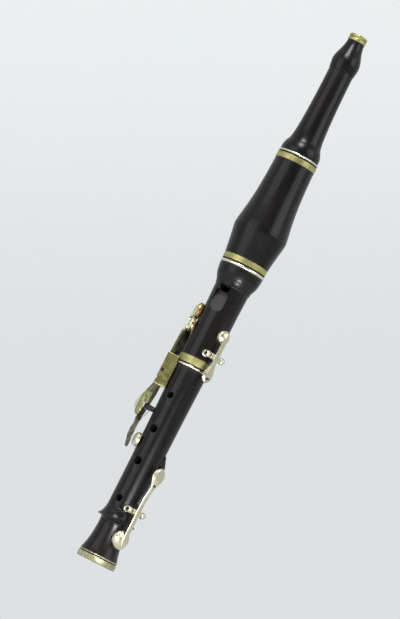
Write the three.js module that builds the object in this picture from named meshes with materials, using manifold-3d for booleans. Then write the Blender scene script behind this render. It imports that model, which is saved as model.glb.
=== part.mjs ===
// Keyed flageolet in millimetres. The bore is the Z axis, the foot stands on z = 0,
// the mouthpiece points up and the finger holes face -Y.
import * as THREE from 'three';
import * as BufferGeometryUtils from 'three/addons/utils/BufferGeometryUtils.js';
import Module from 'manifold-3d';

const wasm = await Module();
wasm.setup();

// Counts of facets
const turnedSides = 24;
const screwSides = 10;
const rivetSides = 8;
const holeSides = 12;
const cupSides = 16;
const barSides = 8;
const leafSides = 4;
const curveSteps = 4;
const ballSteps = 4;
const leverSteps = 6;
const pathSamples = 80;
const springSteps = 4;

// Clearances
const setGap = 0.3;
const ringGap = 0.15;
const boreGap = 0.15;
const cutOverrun = 2;

// Materials
const darkWood = { color: 0x2b2526, roughness: 0.38, metalness: 0 };
const paleWood = { color: 0x9c6b42, roughness: 0.6, metalness: 0 };
const agedBrass = { color: 0xa89a58, roughness: 0.34, metalness: 1 };
const brightRing = { color: 0xd9d2ac, roughness: 0.24, metalness: 1 };
const paleSilver = { color: 0xc9c6a4, roughness: 0.24, metalness: 1 };
const darkSteel = { color: 0x34312f, roughness: 0.4, metalness: 1 };
const springSteel = { color: 0x6d6a66, roughness: 0.32, metalness: 1 };
const redLeather = { color: 0x8a4a33, roughness: 0.7, metalness: 0 };
const waxedThread = { color: 0xa58a5f, roughness: 0.85, metalness: 0 };
const softSponge = { color: 0xc9b173, roughness: 0.95, metalness: 0 };

// Foot ring
const footRadius = 13.9;
const footBandHeight = 4.1;
const footFloor = 1.2;
const footOpening = 9.2;
const footWall = 1.3;
const footCorner = 0.7;
const beadHeight = 1;
const beadRadius = 13.7;
const beadGroove = 0.5;
const footRingHeight = footBandHeight + beadGroove + beadHeight;

// Lower joint
const jointHeight = 144.6;
const bellRadius = 13.55;
const waistRadius = 10.35;
const bellHeight = 21;
const bellCurve = 2.6;
const mouldingFoot = 30.9;
const mouldingRadius = 13.7;
const mouldingEdge = 0.7;
const mouldingHeight = 8.1;
const mouldingCurve = 1.5;
const taperFoot = 72;
const taperCurve = 1.3;
const jointRadius = 11.3;
const footBore = 4.2;
const jointBore = 5.6;

// Tenons and sockets
const jointTenonLength = 21;
const jointTenonRadius = 8.1;
const capTenonLength = 16.5;
const capTenonRadius = 9.8;
const mouthTenonLength = 13.5;
const mouthTenonRadius = 7.1;
const lappingThickness = 0.6;
const lappingMargin = 3;
const socketDepthSpare = 1;

// Rings between the joints
const jointRingHeight = 2.2;
const jointRingRadius = 12;
const socketFerruleHeight = 5.4;
const socketFerruleRadius = 12;
const headRingHeight = 2.7;
const headRingRadius = 16.2;
const capFootFerruleHeight = 4.1;
const capFootFerruleRadius = 15.9;
const capTopFerruleHeight = 4.1;
const capTopFerruleRadius = 14.5;
const mouthRingHeight = 2.1;
const mouthRingRadius = 14.7;
const ferruleWall = 0.9;
const seamGap = 0.4;
const beadRounding = 0.7;

// Head joint
const headRadius = 11.8;
const headThroatRadius = 12.2;
const headBore = 5.75;
const headHeight = 72.6;
const bulbRise = 58.3;
const bulbRadius = 15.8;
const bulbShares = [[0.17, 0.16], [0.34, 0.44], [0.53, 0.78], [0.72, 0.93]];

// Window, lip and windway
const windowTurn = 5;
const windowRise = 54.4;
const windowHeight = 4.1;
const windowWidth = 8;
const lipLength = 15.2;
const lipEdgeRadius = 6.15;
const lipWidth = 9;
const windwayHeight = 1.1;
const windwayWidth = 7.4;
const blockFlat = 5.3;
const blockTopInset = 1;

// Windcap
const capHeight = 81.7;
const capFootRadius = 16;
const capCrestRadius = 19.15;
const capCrestRise = 25.5;
const capNeckRadius = 14.3;
const capFlareShares = [[0.12, 0.15], [0.37, 0.43], [0.62, 0.71], [0.88, 0.98]];
const capFallShares = [[0.06, 0.08], [0.16, 0.28], [0.27, 0.45], [0.42, 0.66], [0.6, 0.83]];
const chamberRadius = 11.3;
const spongeSpace = 10.5;
const spongeCorner = 2;

// Mouthpiece
const mouthHeight = 93;
const mouthFootRadius = 14;
const mouthFootHeight = 3.8;
const mouthBore = 3;
const mouthStemRadius = 8.9;
const mouthStemFoot = 58;
const mouthStemTop = 65;
const mouthStemShares = [[0.05, 0.08], [0.1, 0.45], [0.15, 0.61], [0.25, 0.765], [0.5, 0.9]];
const mouthStep = 0.3;
const mouthKnobRadius = 9.95;
const mouthKnobCentre = 71.8;
const mouthEndRadius = 6;
const mouthEndShares = [[0.17, 0.11], [0.34, 0.39], [0.5, 0.63], [0.72, 0.84]];
const tipRingHeight = 4.8;
const tipRingRadius = 6.4;
const tipRingGroove = 0.6;
const tipRingWall = 1.3;

// Finger and thumb holes: height and radius
const fingerHoles = {
  first: { height: 122.6, radius: 2.2 },
  second: { height: 97.5, radius: 2.7 },
  third: { height: 73.8, radius: 2.8 },
  fourth: { height: 46, radius: 2.4 },
};
const thumbHoles = {
  upper: { height: 137, radius: 2.3 },
  lower: { height: 60.8, radius: 2.3 },
};

// Thumb rest, a hump of wood at the back of the lower joint
const restTurn = 126;
const restFoot = 63.8;
const restHeight = 21;
const restLedgeRise = 2.2;
const restCrestRise = 12.7;
const restRise = 13.6;
const restWidth = 8.5;

// Key work shared by all keys
const leverWidth = 3.8;
const leverThickness = 1.5;
const leverEndWidth = 1.2;
const touchCrestShare = 0.6;
const touchDish = 0.8;
const ballRadius = 2.4;
const postShankRadius = 1.2;
const postNeckRadius = 1.5;
const postFootRadius = 2.5;
const postFootHeight = 0.6;
const postDepth = 2.2;
const pivotRadius = 0.8;
const pivotHeadRadius = 1.3;
const pivotHeadHeight = 0.7;
const pivotSlot = 0.5;
const pivotSlotDepth = 0.4;
const pivotHeadInset = 0.3;
const pivotHeadRecess = 1.1;
const hingeTubeRadius = 1.9;
const pivotBossRadius = 1.7;
const pivotBossShow = 0.15;
const cupWall = 0.7;
const cupRim = 0.9;
const cupRoof = 1.3;
const padShow = 1;
const padCorner = 0.5;
const padSeatDepth = 0.35;
const padSeatMargin = 0.5;
const springWidth = 2.4;
const springThickness = 0.4;
const springRootTurn = 5;
const longPadGap = 0.35;
const rivetRadius = 0.55;
const rivetHeadRadius = 0.85;
const rivetHeadHeight = 0.35;
const holeUnderCupShare = 0.45;
const touchStepShares = [0.18, 0.36, 0.54, 0.7, 0.84, 0.95, 1];
const domeShares = [[1, 0.12], [0.88, 0.5], [0.55, 0.88]];

// Low key, right of the foot: its pivot stands above the foot, its other heights reach from its pivot
const lowKeySizes = {
  turn: 74,
  pivotAbove: 41.8,
  pivotRise: 13.5,
  postSpread: 6.8,
  leverRise: 15.5,
  cupReach: -20.6,
  cupRadius: 6.65,
  cupDome: 2.9,
  leverOver: 4,
  leverEndRise: 15.4,
  touchReach: 18.7,
  touchLength: 15.2,
  touchRise: 18.2,
  touchWidth: 10.7,
  rivetReach: 21,
  springTipReach: 5.7,
  springTipRise: 11.9,
};

// Upper key, right of the head, its pivot above the head's foot
const upperKeySizes = {
  turn: 73.5,
  pivotAbove: 11,
  pivotRise: 14.4,
  postSpread: 7.4,
  leverRise: 16.4,
  cupReach: 14.9,
  cupRadius: 4.65,
  cupDome: 2.7,
  leverOver: 2.9,
  leverEndRise: 16.2,
  touchReach: -3.7,
  touchLength: 14.7,
  touchRise: 16.9,
  touchWidth: 9,
  rivetReach: -15.2,
  springTipReach: -4.2,
  springTipRise: 13.3,
};

// Saddle of the long left keys
const saddleTurn = -66;
const saddleBelow = 19;
const saddleAbove = 4.1;
const saddleRise = 19;
const saddleFloorRise = 13.1;
const saddleWall = 1.2;
const saddleRib = 2.4;
const saddleSkirt = 10.2;
const channelWidth = 3.6;
const notchRise = 3.9;
const notchRadius = 1.1;
const saddleScrewRadius = 0.9;
const saddleScrewHeadRadius = 1.4;
const saddleScrewHeadHeight = 0.8;
const saddleScrewLength = 4.2;
const saddleScrewInset = 4;
const saddleLeverWidth = 2.8;
const saddleLeverThickness = 2.4;
const channelCentre = (saddleRib + channelWidth) / 2;

// Key A, its pivot above the saddle's foot
const keyASizes = {
  pivotAbove: 10.2,
  pivotRise: 17.2,
  cupReach: 36.8,
  cupRise: 16.7,
  cupTurn: 8,
  cupRadius: 4.75,
  cupDome: 2.1,
  leverOver: 3,
  touchReach: -16.2,
  touchRootRise: 19.8,
  touchCrestRise: 22.2,
  touchLength: 18.3,
  touchTipRise: 20.4,
  touchTwist: 36,
  touchWidth: 10,
  rivetReach: -8.2,
  springTipReach: -3.3,
  springTipRise: 13.9,
};

// Key B, on its own forked post below the saddle
const keyBSizes = {
  pivotAbove: -16.2,
  pivotRise: 16.2,
  channelRise: 15.5,
  passRise: 16.8,
  passAcross: 5.3,
  cupBeyond: 10.4,
  cupRise: 16.7,
  cupTurn: -6,
  cupRadius: 5.6,
  cupDome: 2.1,
  leverOver: 4,
  touchReach: -3.4,
  touchLength: 26.8,
  touchTipRise: 17.8,
  touchCrestReach: -16.4,
  touchCrestRise: 20.6,
  touchAcross: 3.2,
  touchTwist: -12,
  touchWidth: 7.5,
  forkWall: 1.2,
  forkLength: 3.7,
  shankRadius: 1.85,
  rivetReach: -9.6,
  springTipReach: -2.2,
  springTipRise: 13.6,
};

// Cross key, hinged behind the tube at a height below the saddle's foot
const crossKeySizes = {
  cupTurn: -52,
  hingeTurn: -112,
  touchTipTurn: -174,
  below: 39.2,
  cupRadius: 5,
  cupDome: 2.3,
  postSpread: 5.6,
  pivotRise: 13.6,
  leverRise: 14.6,
  leverWidth: 3.4,
  tailWidth: 1.6,
  touchRootTurn: -142,
  touchWidth: 9.5,
  rivetTurn: -146,
  springTipTurn: -128,
  springTipRise: 11.8,
};

// Heights and radii that follow from the pieces that meet there
const jointWoodFoot = footFloor + ringGap;
const tenonTop = jointHeight + jointTenonLength;
const restTop = restFoot + restHeight;
const headFoot = jointHeight + jointRingHeight + seamGap;
const headShoulder = headFoot + headHeight;
const bulbFoot = headFoot + bulbRise;
const windowFoot = headFoot + windowRise;
const headSocketTop = tenonTop + socketDepthSpare;
const headSocketRadius = jointTenonRadius + lappingThickness + setGap;
const headRingTop = headShoulder + headRingHeight;
const headTop = headRingTop + capTenonLength;
const windowTop = windowFoot + windowHeight;
const capFoot = headRingTop + seamGap;
const capTop = capFoot + capHeight;
const capSocketTop = headTop + socketDepthSpare;
const capSocketRadius = capTenonRadius + lappingThickness + setGap;
const mouthRingFoot = capTop + seamGap;
const mouthFoot = mouthRingFoot + mouthRingHeight;
const mouthTop = mouthFoot + mouthHeight;
const mouthTenonFoot = mouthRingFoot - mouthTenonLength;
const mouthSocketFoot = mouthTenonFoot - socketDepthSpare;
const mouthSocketRadius = mouthTenonRadius + lappingThickness + setGap;
const saddleFoot = jointHeight - saddleBelow;
const saddleTop = jointHeight + saddleAbove;
const lowKey = atHeights(lowKeySizes, 0);
const upperKey = atHeights(upperKeySizes, headFoot);
const keyA = atHeights(keyASizes, saddleFoot);
const longCupReach = keyA.cupHeight + keyBSizes.cupBeyond - saddleFoot - keyBSizes.pivotAbove;
const keyB = atHeights({ ...keyBSizes, cupReach: longCupReach }, saddleFoot);
const crossKey = { ...crossKeySizes, height: saddleFoot - crossKeySizes.below };

const part = new THREE.Group();
part.name = 'keyed_flageolet';

function addPiece(parent, name, geometry, finish) {
  const mesh = new THREE.Mesh(geometry, new THREE.MeshStandardMaterial(finish));
  mesh.name = name;
  parent.add(mesh);
}

// A group whose X axis points outward at a turn round the tube, 0 at the front
function addTurnedGroup(turn) {
  const group = new THREE.Group();
  group.rotation.z = turnAngle(turn);
  part.add(group);
  return group;
}

// Directions in a key's frame
const radialWay = new THREE.Vector3(1, 0, 0);
const acrossWay = new THREE.Vector3(0, 1, 0);
const upWay = new THREE.Vector3(0, 0, 1);

// Helpers

// A key with its heights, worked out from its reaches and the height that its pivot stands on
function atHeights(key, base) {
  const pivotHeight = base + key.pivotAbove;
  const cupHeight = pivotHeight + key.cupReach;
  const touchRoot = pivotHeight + key.touchReach;
  return {
    ...key,
    pivotHeight,
    cupHeight,
    leverEnd: cupHeight + Math.sign(key.cupReach) * key.leverOver,
    touchRoot,
    touchTip: touchRoot + Math.sign(key.touchReach) * key.touchLength,
    rivetHeight: pivotHeight + key.rivetReach,
    springTip: pivotHeight + key.springTipReach,
  };
}

function radians(degrees) {
  return THREE.MathUtils.degToRad(degrees);
}

function toSolid(geometry) {
  const bare = geometry.index ? geometry.toNonIndexed() : geometry.clone();
  bare.deleteAttribute('normal');
  bare.deleteAttribute('uv');
  const merged = BufferGeometryUtils.mergeVertices(bare);
  const triangles = [];
  const index = merged.index.array;
  for (let corner = 0; corner < index.length; corner += 3) {
    const [a, b, c] = [index[corner], index[corner + 1], index[corner + 2]];
    if (a !== b && b !== c && c !== a) triangles.push(a, b, c);
  }
  const vertProperties = merged.attributes.position.array;
  return new wasm.Manifold(new wasm.Mesh({ numProp: 3, vertProperties, triVerts: Uint32Array.from(triangles) }));
}

function toGeometry(solid) {
  const mesh = solid.getMesh();
  const geometry = new THREE.BufferGeometry();
  geometry.setAttribute('position', new THREE.BufferAttribute(mesh.vertProperties, 3));
  geometry.setIndex(new THREE.BufferAttribute(mesh.triVerts, 1));
  return BufferGeometryUtils.toCreasedNormals(geometry, radians(35));
}

function joined(...geometries) {
  return toGeometry(geometries.map(toSolid).reduce((whole, piece) => whole.add(piece)));
}

function cutBy(geometry, cutters) {
  return toGeometry(cutters.map(toSolid).reduce((whole, cutter) => whole.subtract(cutter), toSolid(geometry)));
}

// A body of revolution about Z from [radius, height] points, outside first, going up
function revolved(points, sides = turnedSides) {
  const profile = points.map(([radius, height]) => new THREE.Vector2(radius, height));
  const onAxis = points[0][0] === 0 && points.at(-1)[0] === 0;
  if (!onAxis) profile.push(profile[0].clone());
  return new THREE.LatheGeometry(profile, sides).rotateX(Math.PI / 2);
}

function cylinder(radius, foot, top, sides = holeSides) {
  return revolved([[0, foot], [radius, foot], [radius, top], [0, top]], sides);
}

// Lays a piece that was made along Z along the key's radial direction (+X) or across it (+Y)
function laidRadial(geometry) {
  return geometry.rotateY(Math.PI / 2);
}

function laidAcross(geometry) {
  return geometry.rotateX(-Math.PI / 2);
}

// Turns a piece from a key's frame, X outward, to its place round the tube
function turnAngle(turn) {
  return radians(turn - 90);
}

function atTurn(geometry, turn) {
  return geometry.rotateZ(turnAngle(turn));
}

function box(low, high) {
  const size = high.map((value, axis) => value - low[axis]);
  const centre = high.map((value, axis) => (value + low[axis]) / 2);
  return new THREE.BoxGeometry(...size).translate(...centre);
}

// A radial drill through the wall of a joint
function drill(turn, height, radius, from, to) {
  return atTurn(laidRadial(cylinder(radius, from, to)).translate(0, 0, height), turn);
}

// Points of a curve between two [radius, height] ends, from hand-chosen shares
function alongShares(from, to, shares) {
  return shares.map(([heightShare, radiusShare]) => [
    from[0] + (to[0] - from[0]) * radiusShare,
    from[1] + (to[1] - from[1]) * heightShare,
  ]);
}

// A bar lofted through stations, each square to the bar's way, listed so that
// outward x across points along that way
function bar(stations, sides = barSides) {
  const positions = [];
  const index = [];
  const rounded = (value) => Math.sign(value) * Math.min(1, Math.SQRT2 * Math.abs(value));
  for (const { place, outward = radialWay, across = acrossWay, width, thickness, dish = 0 } of stations) {
    for (let corner = 0; corner < sides; corner += 1) {
      const angle = ((corner + 0.5) / sides) * 2 * Math.PI;
      const acrossShare = rounded(Math.sin(angle));
      const outwardShare = rounded(Math.cos(angle));
      const point = place.clone();
      point.addScaledVector(outward, (outwardShare * thickness) / 2 - dish * acrossShare * acrossShare);
      point.addScaledVector(across, (acrossShare * width) / 2);
      positions.push(...point.toArray());
    }
  }
  for (let station = 0; station < stations.length - 1; station += 1) {
    for (let corner = 0; corner < sides; corner += 1) {
      const next = (corner + 1) % sides;
      const low = station * sides;
      const high = low + sides;
      index.push(low + corner, low + next, high + next, low + corner, high + next, high + corner);
    }
  }
  const last = (stations.length - 1) * sides;
  for (let corner = 1; corner < sides - 1; corner += 1) {
    index.push(0, corner + 1, corner);
    index.push(last, last + corner, last + corner + 1);
  }
  const geometry = new THREE.BufferGeometry();
  geometry.setAttribute('position', new THREE.BufferAttribute(new Float32Array(positions), 3));
  geometry.setIndex(index);
  return geometry;
}

// The place of a smooth path of [outward, across, height] points at any height
function placesByHeight(points) {
  const path = new THREE.CatmullRomCurve3(points.map((point) => new THREE.Vector3(...point)), false, 'centripetal');
  const samples = path.getSpacedPoints(pathSamples).sort((a, b) => a.z - b.z);
  return (height) => {
    const above = samples.findIndex((sample) => sample.z >= height);
    if (above <= 0) return samples.at(above).clone();
    const below = samples[above - 1];
    const place = below.clone().lerp(samples[above], (height - below.z) / (samples[above].z - below.z));
    return place;
  };
}

function clampShare(value) {
  return Math.min(1, Math.max(0, value));
}

// Width of a touch that swells from its lever, is widest at its crest and ends round
function touchWidthAt(share, narrow, wide) {
  if (share < touchCrestShare) {
    return narrow + ((wide - narrow) * (1 - Math.cos((Math.PI * share) / touchCrestShare))) / 2;
  }
  const beyond = clampShare((share - touchCrestShare) / (1 - touchCrestShare));
  return Math.max(leverEndWidth, wide * Math.sqrt(1 - beyond * beyond));
}

// The bar of a key: its touch, its lever and the pointed end over its cup
function keyBar(key, points, width = leverWidth, thickness = leverThickness) {
  const { cupHeight, leverEnd, touchRoot, touchTip, touchTwist = 0 } = key;
  const placeAt = placesByHeight(points);
  const heights = [leverEnd, cupHeight];
  for (let step = 1; step <= leverSteps; step += 1) {
    heights.push(THREE.MathUtils.lerp(cupHeight, touchRoot, step / leverSteps));
  }
  heights.push(...touchStepShares.map((share) => THREE.MathUtils.lerp(touchRoot, touchTip, share)));
  const stations = heights.sort((a, b) => a - b).map((height) => {
    const touchShare = (height - touchRoot) / (touchTip - touchRoot);
    const endShare = clampShare((height - cupHeight) / (leverEnd - cupHeight));
    const leverShare = (height - cupHeight) / (touchRoot - cupHeight);
    const bodyShare = clampShare(Math.min(leverShare * leverSteps, 1 - touchShare));
    const twist = radians(touchTwist) * clampShare(touchShare * 3);
    const touchWidth = touchWidthAt(clampShare(touchShare), width, key.touchWidth);
    return {
      place: placeAt(height),
      outward: radialWay.clone().applyAxisAngle(upWay, twist),
      across: acrossWay.clone().applyAxisAngle(upWay, twist),
      width: touchShare > 0 ? touchWidth : width + (leverEndWidth - width) * endShare,
      thickness: leverThickness + (thickness - leverThickness) * bodyShare,
      dish: touchDish * clampShare(touchShare * 2),
    };
  });
  return { geometry: bar(stations), placeAt };
}

// A domed cup along Z, open below, with its rim's lower edge at z = 0
function cup({ cupRadius, cupDome }) {
  const dome = domeShares.map(([radiusShare, riseShare]) => [cupRadius * radiusShare, cupRim + cupDome * riseShare]);
  const inner = cupRadius - cupWall;
  const profile = [[0, cupRoof], [inner, cupRoof], [inner, 0], [cupRadius, 0], ...dome, [0, cupRim + cupDome]];
  return revolved(profile, cupSides);
}

// A leather pad along Z, its closing face at z = 0
function padDisc({ cupRadius }) {
  const radius = cupRadius - cupWall - setGap;
  const thickness = padShow + cupRoof - setGap;
  const profile = [[0, 0], [radius - padCorner, 0], [radius, padCorner], [radius, thickness], [0, thickness]];
  return revolved(profile, cupSides);
}

// A ball post along Z, its foot plate's underside at z = 0 and its ball's centre at the rise
function ballPost(rise) {
  const neckAngle = Math.asin(postNeckRadius / ballRadius);
  const neck = rise - ballRadius * Math.cos(neckAngle);
  const profile = [[0, -postDepth], [postShankRadius, -postDepth], [postShankRadius, 0]];
  profile.push([postFootRadius, 0], [postFootRadius, postFootHeight / 2]);
  profile.push([postNeckRadius, Math.min(postFootHeight, neck / 2)]);
  for (let step = 0; step < ballSteps; step += 1) {
    const angle = THREE.MathUtils.lerp(neckAngle, Math.PI, step / ballSteps);
    profile.push([ballRadius * Math.sin(angle), rise - ballRadius * Math.cos(angle)]);
  }
  profile.push([0, rise + ballRadius]);
  return revolved(profile, screwSides);
}

// A slotted pivot screw along Z, its head's top at z = 0 and its shank going up
function pivotScrew(length) {
  const profile = [[0, 0], [pivotHeadRadius, 0], [pivotHeadRadius, pivotHeadHeight]];
  profile.push([pivotRadius, pivotHeadHeight], [pivotRadius, length], [0, length]);
  const reach = pivotHeadRadius * 2;
  const slot = box([-reach, -pivotSlot / 2, -cutOverrun], [reach, pivotSlot / 2, pivotSlotDepth]);
  return cutBy(revolved(profile, screwSides), [slot]);
}

// A rivet along Z, headed at its far end
function rivet(length) {
  const top = length + rivetHeadHeight;
  const profile = [[0, 0], [rivetRadius, 0], [rivetRadius, length], [rivetHeadRadius, length]];
  profile.push([rivetRadius, top], [0, top]);
  return revolved(profile, rivetSides);
}

// Lathe profile of a ring with rounded outer edges
function roundedRing(innerRadius, outerRadius, foot, height, rounding) {
  const top = foot + height;
  return revolved([
    [innerRadius, foot],
    [outerRadius - rounding, foot],
    [outerRadius, foot + rounding],
    [outerRadius, top - rounding],
    [outerRadius - rounding, top],
    [innerRadius, top],
  ]);
}

// Radius of the lower joint's wood above its moulding
function jointRadiusAt(height) {
  const share = clampShare((height - taperFoot) / (jointHeight - taperFoot));
  return waistRadius + (jointRadius - waistRadius) * share ** taperCurve;
}

function footRing() {
  const rebate = footRadius - footWall;
  const beadFoot = footBandHeight + beadGroove;
  return revolved([
    [footOpening, 0],
    [footRadius - footCorner, 0],
    [footRadius, footCorner],
    [footRadius, footBandHeight],
    [footRadius - beadGroove, footBandHeight],
    [footRadius - beadGroove, beadFoot],
    [beadRadius, beadFoot],
    [beadRadius, footRingHeight],
    [rebate, footRingHeight],
    [rebate, footFloor],
    [footOpening, footFloor],
  ]);
}

function lowerJointBlank() {
  const rebate = footRadius - footWall - ringGap;
  const bellFoot = footRingHeight + ringGap;
  const outline = [[footBore, jointWoodFoot], [rebate, jointWoodFoot], [rebate, bellFoot]];
  for (let step = 0; step <= curveSteps; step += 1) {
    const share = step / curveSteps;
    outline.push([waistRadius + (bellRadius - waistRadius) * (1 - share) ** bellCurve, bellFoot + bellHeight * share]);
  }
  outline.push([waistRadius, mouldingFoot], [mouldingRadius, mouldingFoot]);
  for (let step = 0; step <= curveSteps; step += 1) {
    const share = step / curveSteps;
    const radius = waistRadius + (mouldingRadius - waistRadius) * (1 - share) ** mouldingCurve;
    outline.push([radius, mouldingFoot + mouldingEdge + (mouldingHeight - mouldingEdge) * share]);
  }
  for (let step = 0; step <= curveSteps; step += 1) {
    const height = THREE.MathUtils.lerp(taperFoot, jointHeight, step / curveSteps);
    outline.push([jointRadiusAt(height), height]);
  }
  outline.push([jointTenonRadius, jointHeight], [jointTenonRadius, tenonTop], [jointBore, tenonTop]);
  return revolved(outline);
}

// The hump at the back that the thumb rests against, a wedge that grows out of the tube
function thumbRest() {
  const root = jointBore + setGap;
  const outline = new THREE.Shape();
  outline.moveTo(root, restFoot);
  outline.lineTo(jointRadiusAt(restFoot) - setGap, restFoot);
  outline.lineTo(restRise, restFoot + restLedgeRise);
  outline.lineTo(restRise, restFoot + restCrestRise);
  outline.lineTo(jointRadiusAt(restTop) - setGap, restTop);
  outline.lineTo(root, restTop);
  const wedge = new THREE.ExtrudeGeometry(outline, { depth: restWidth, bevelEnabled: false });
  return atTurn(wedge.translate(0, 0, -restWidth / 2).rotateX(Math.PI / 2), restTurn);
}

// The flat spot that a pad closes on and the tone hole under it
function padSeat(turn, height, radius, tubeRadius) {
  const outside = tubeRadius * 2;
  return [
    drill(turn, height, radius + padSeatMargin, tubeRadius - padSeatDepth, outside),
    toneHole(turn, height, radius, tubeRadius),
  ];
}

function toneHole(turn, height, cupRadius, tubeRadius) {
  return drill(turn, height, cupRadius * holeUnderCupShare, footBore / 2, tubeRadius * 2);
}

// Angle from a key's middle to each of its posts, in degrees
function postAngle({ postSpread, pivotRise }) {
  return THREE.MathUtils.radToDeg(Math.atan2(postSpread, pivotRise));
}

function postHole(turn, height, tubeRadius) {
  const foot = tubeRadius - postDepth - setGap;
  return atTurn(
    laidRadial(cylinder(postShankRadius + ringGap, foot, tubeRadius * 2, screwSides)).translate(0, 0, height),
    turn,
  );
}

function sidePostHoles(key, tubeRadius) {
  return [-1, 1].map((side) => postHole(key.turn + side * postAngle(key), key.pivotHeight, tubeRadius));
}

function crossPostHoles() {
  const { height, postSpread, hingeTurn } = crossKey;
  return [-1, 1].map((side) => postHole(hingeTurn, height + side * postSpread, crossTubeRadius));
}

function lowerJoint() {
  const waist = waistRadius;
  const cutters = Object.values(fingerHoles).map(({ height, radius }) => drill(0, height, radius, 0, waist * 2));
  cutters.push(...Object.values(thumbHoles).map(({ height, radius }) => drill(180, height, radius, 0, waist * 2)));
  cutters.push(...padSeat(lowKey.turn, lowKey.cupHeight, lowKey.cupRadius, waist));
  cutters.push(...padSeat(crossKey.cupTurn, crossKey.height, crossKey.cupRadius, crossTubeRadius));
  cutters.push(...sidePostHoles(lowKey, waist), ...crossPostHoles());
  cutters.push(...saddleScrewHeights.map((height) => saddleScrewHole(height)), forkPostHole());
  return cutBy(joined(lowerJointBlank(), cutBy(thumbRest(), [innerClearance()])), cutters);
}

// Keeps the hump's root out of the bore
function innerClearance() {
  return cylinder(jointBore + setGap, restFoot - cutOverrun, restTop + cutOverrun, turnedSides);
}

function headJoint() {
  const rebate = socketFerruleRadius - ferruleWall - ringGap;
  const ferruleTop = headFoot + socketFerruleHeight + ringGap;
  const shoulder = headShoulder;
  const blank = revolved([
    [headSocketRadius, headFoot],
    [rebate, headFoot],
    [rebate, ferruleTop],
    [headRadius, ferruleTop],
    [headRadius, windowFoot - lipLength],
    [headThroatRadius, bulbFoot],
    ...alongShares([headThroatRadius, bulbFoot], [bulbRadius, shoulder], bulbShares),
    [bulbRadius, shoulder],
    [capTenonRadius, shoulder],
    [capTenonRadius, headTop],
    [headBore, headTop],
    [headBore, headSocketTop],
    [headSocketRadius, headSocketTop],
  ]);
  const cutters = [windowSlot(), lipRamp(), windway()];
  cutters.push(...padSeat(upperKey.turn, upperKey.cupHeight, upperKey.cupRadius, headRadius));
  cutters.push(toneHole(keyATurn, keyA.cupHeight, keyA.cupRadius, headRadius));
  cutters.push(toneHole(keyBTurn, keyB.cupHeight, keyB.cupRadius, headRadius));
  cutters.push(...sidePostHoles(upperKey, headRadius));
  return cutBy(blank, cutters);
}

function windowSlot() {
  const inside = headBore / 2;
  return atTurn(box([inside, -windowWidth / 2, windowFoot], [headRadius * 2, windowWidth / 2, windowTop]), windowTurn);
}

// The wedge that cuts the flat lip below the window
function lipRamp() {
  const outline = new THREE.Shape();
  const outside = headRadius * 2;
  outline.moveTo(lipEdgeRadius, windowFoot);
  outline.lineTo(headRadius, windowFoot - lipLength);
  outline.lineTo(outside, windowFoot - lipLength);
  outline.lineTo(outside, windowFoot + ringGap);
  outline.lineTo(lipEdgeRadius, windowFoot + ringGap);
  const wedge = new THREE.ExtrudeGeometry(outline, { depth: lipWidth, bevelEnabled: false });
  return atTurn(wedge.translate(0, 0, -lipWidth / 2).rotateX(Math.PI / 2), windowTurn);
}

function windway() {
  const low = [blockFlat / 2, -windwayWidth / 2, windowTop - ringGap];
  const high = [blockFlat + windwayHeight, windwayWidth / 2, headTop + cutOverrun];
  return atTurn(box(low, high), windowTurn);
}

function windwayBlock() {
  const radius = headBore - boreGap;
  const plug = cylinder(radius, windowTop, headTop - blockTopInset, turnedSides);
  const low = [blockFlat, -radius, windowTop - cutOverrun];
  const high = [radius * 2, radius, headTop + cutOverrun];
  return cutBy(plug, [atTurn(box(low, high), windowTurn)]);
}

function windcapBarrel() {
  const footRebate = capFootFerruleRadius - ferruleWall - ringGap;
  const topRebate = capTopFerruleRadius - ferruleWall - ringGap;
  const flareFoot = capFoot + capFootFerruleHeight + ringGap;
  const neckTop = capTop - capTopFerruleHeight - ringGap;
  const crest = [capCrestRadius, capFoot + capCrestRise];
  return revolved([
    [capSocketRadius, capFoot],
    [footRebate, capFoot],
    [footRebate, flareFoot],
    [capFootRadius, flareFoot],
    ...alongShares([capFootRadius, flareFoot], crest, capFlareShares),
    crest,
    ...alongShares(crest, [capNeckRadius, neckTop], capFallShares),
    [capNeckRadius, neckTop],
    [topRebate, neckTop],
    [topRebate, capTop],
    [mouthSocketRadius, capTop],
    [mouthSocketRadius, mouthSocketFoot],
    [chamberRadius, mouthSocketFoot],
    [chamberRadius, capSocketTop],
    [capSocketRadius, capSocketTop],
  ]);
}

function sponge() {
  const radius = chamberRadius - setGap;
  const foot = headTop + spongeSpace;
  const top = mouthSocketFoot - setGap;
  return revolved([
    [0, foot],
    [radius - spongeCorner, foot],
    [radius, foot + spongeCorner],
    [radius, top - spongeCorner],
    [radius - spongeCorner, top],
    [0, top],
  ], cupSides);
}

function mouthpiece() {
  const footTop = [mouthFootRadius, mouthFoot + mouthFootHeight];
  const stem = [mouthStemRadius, mouthFoot + mouthStemFoot];
  const knob = [mouthKnobRadius, mouthFoot + mouthKnobCentre];
  const ringFoot = mouthTop - tipRingHeight - ringGap;
  const endRebate = tipRingRadius - tipRingWall - ringGap;
  const stemTop = mouthFoot + mouthStemTop;
  return revolved([
    [mouthBore, mouthTenonFoot],
    [mouthTenonRadius, mouthTenonFoot],
    [mouthTenonRadius, mouthFoot],
    [mouthFootRadius, mouthFoot],
    footTop,
    ...alongShares(footTop, stem, mouthStemShares),
    stem,
    [mouthStemRadius, stemTop],
    [mouthStemRadius + mouthStep, stemTop],
    knob,
    ...alongShares(knob, [mouthEndRadius, ringFoot], mouthEndShares),
    [mouthEndRadius, ringFoot],
    [endRebate, ringFoot],
    [endRebate, mouthTop - ringGap],
    [mouthBore, mouthTop - ringGap],
  ]);
}

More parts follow.
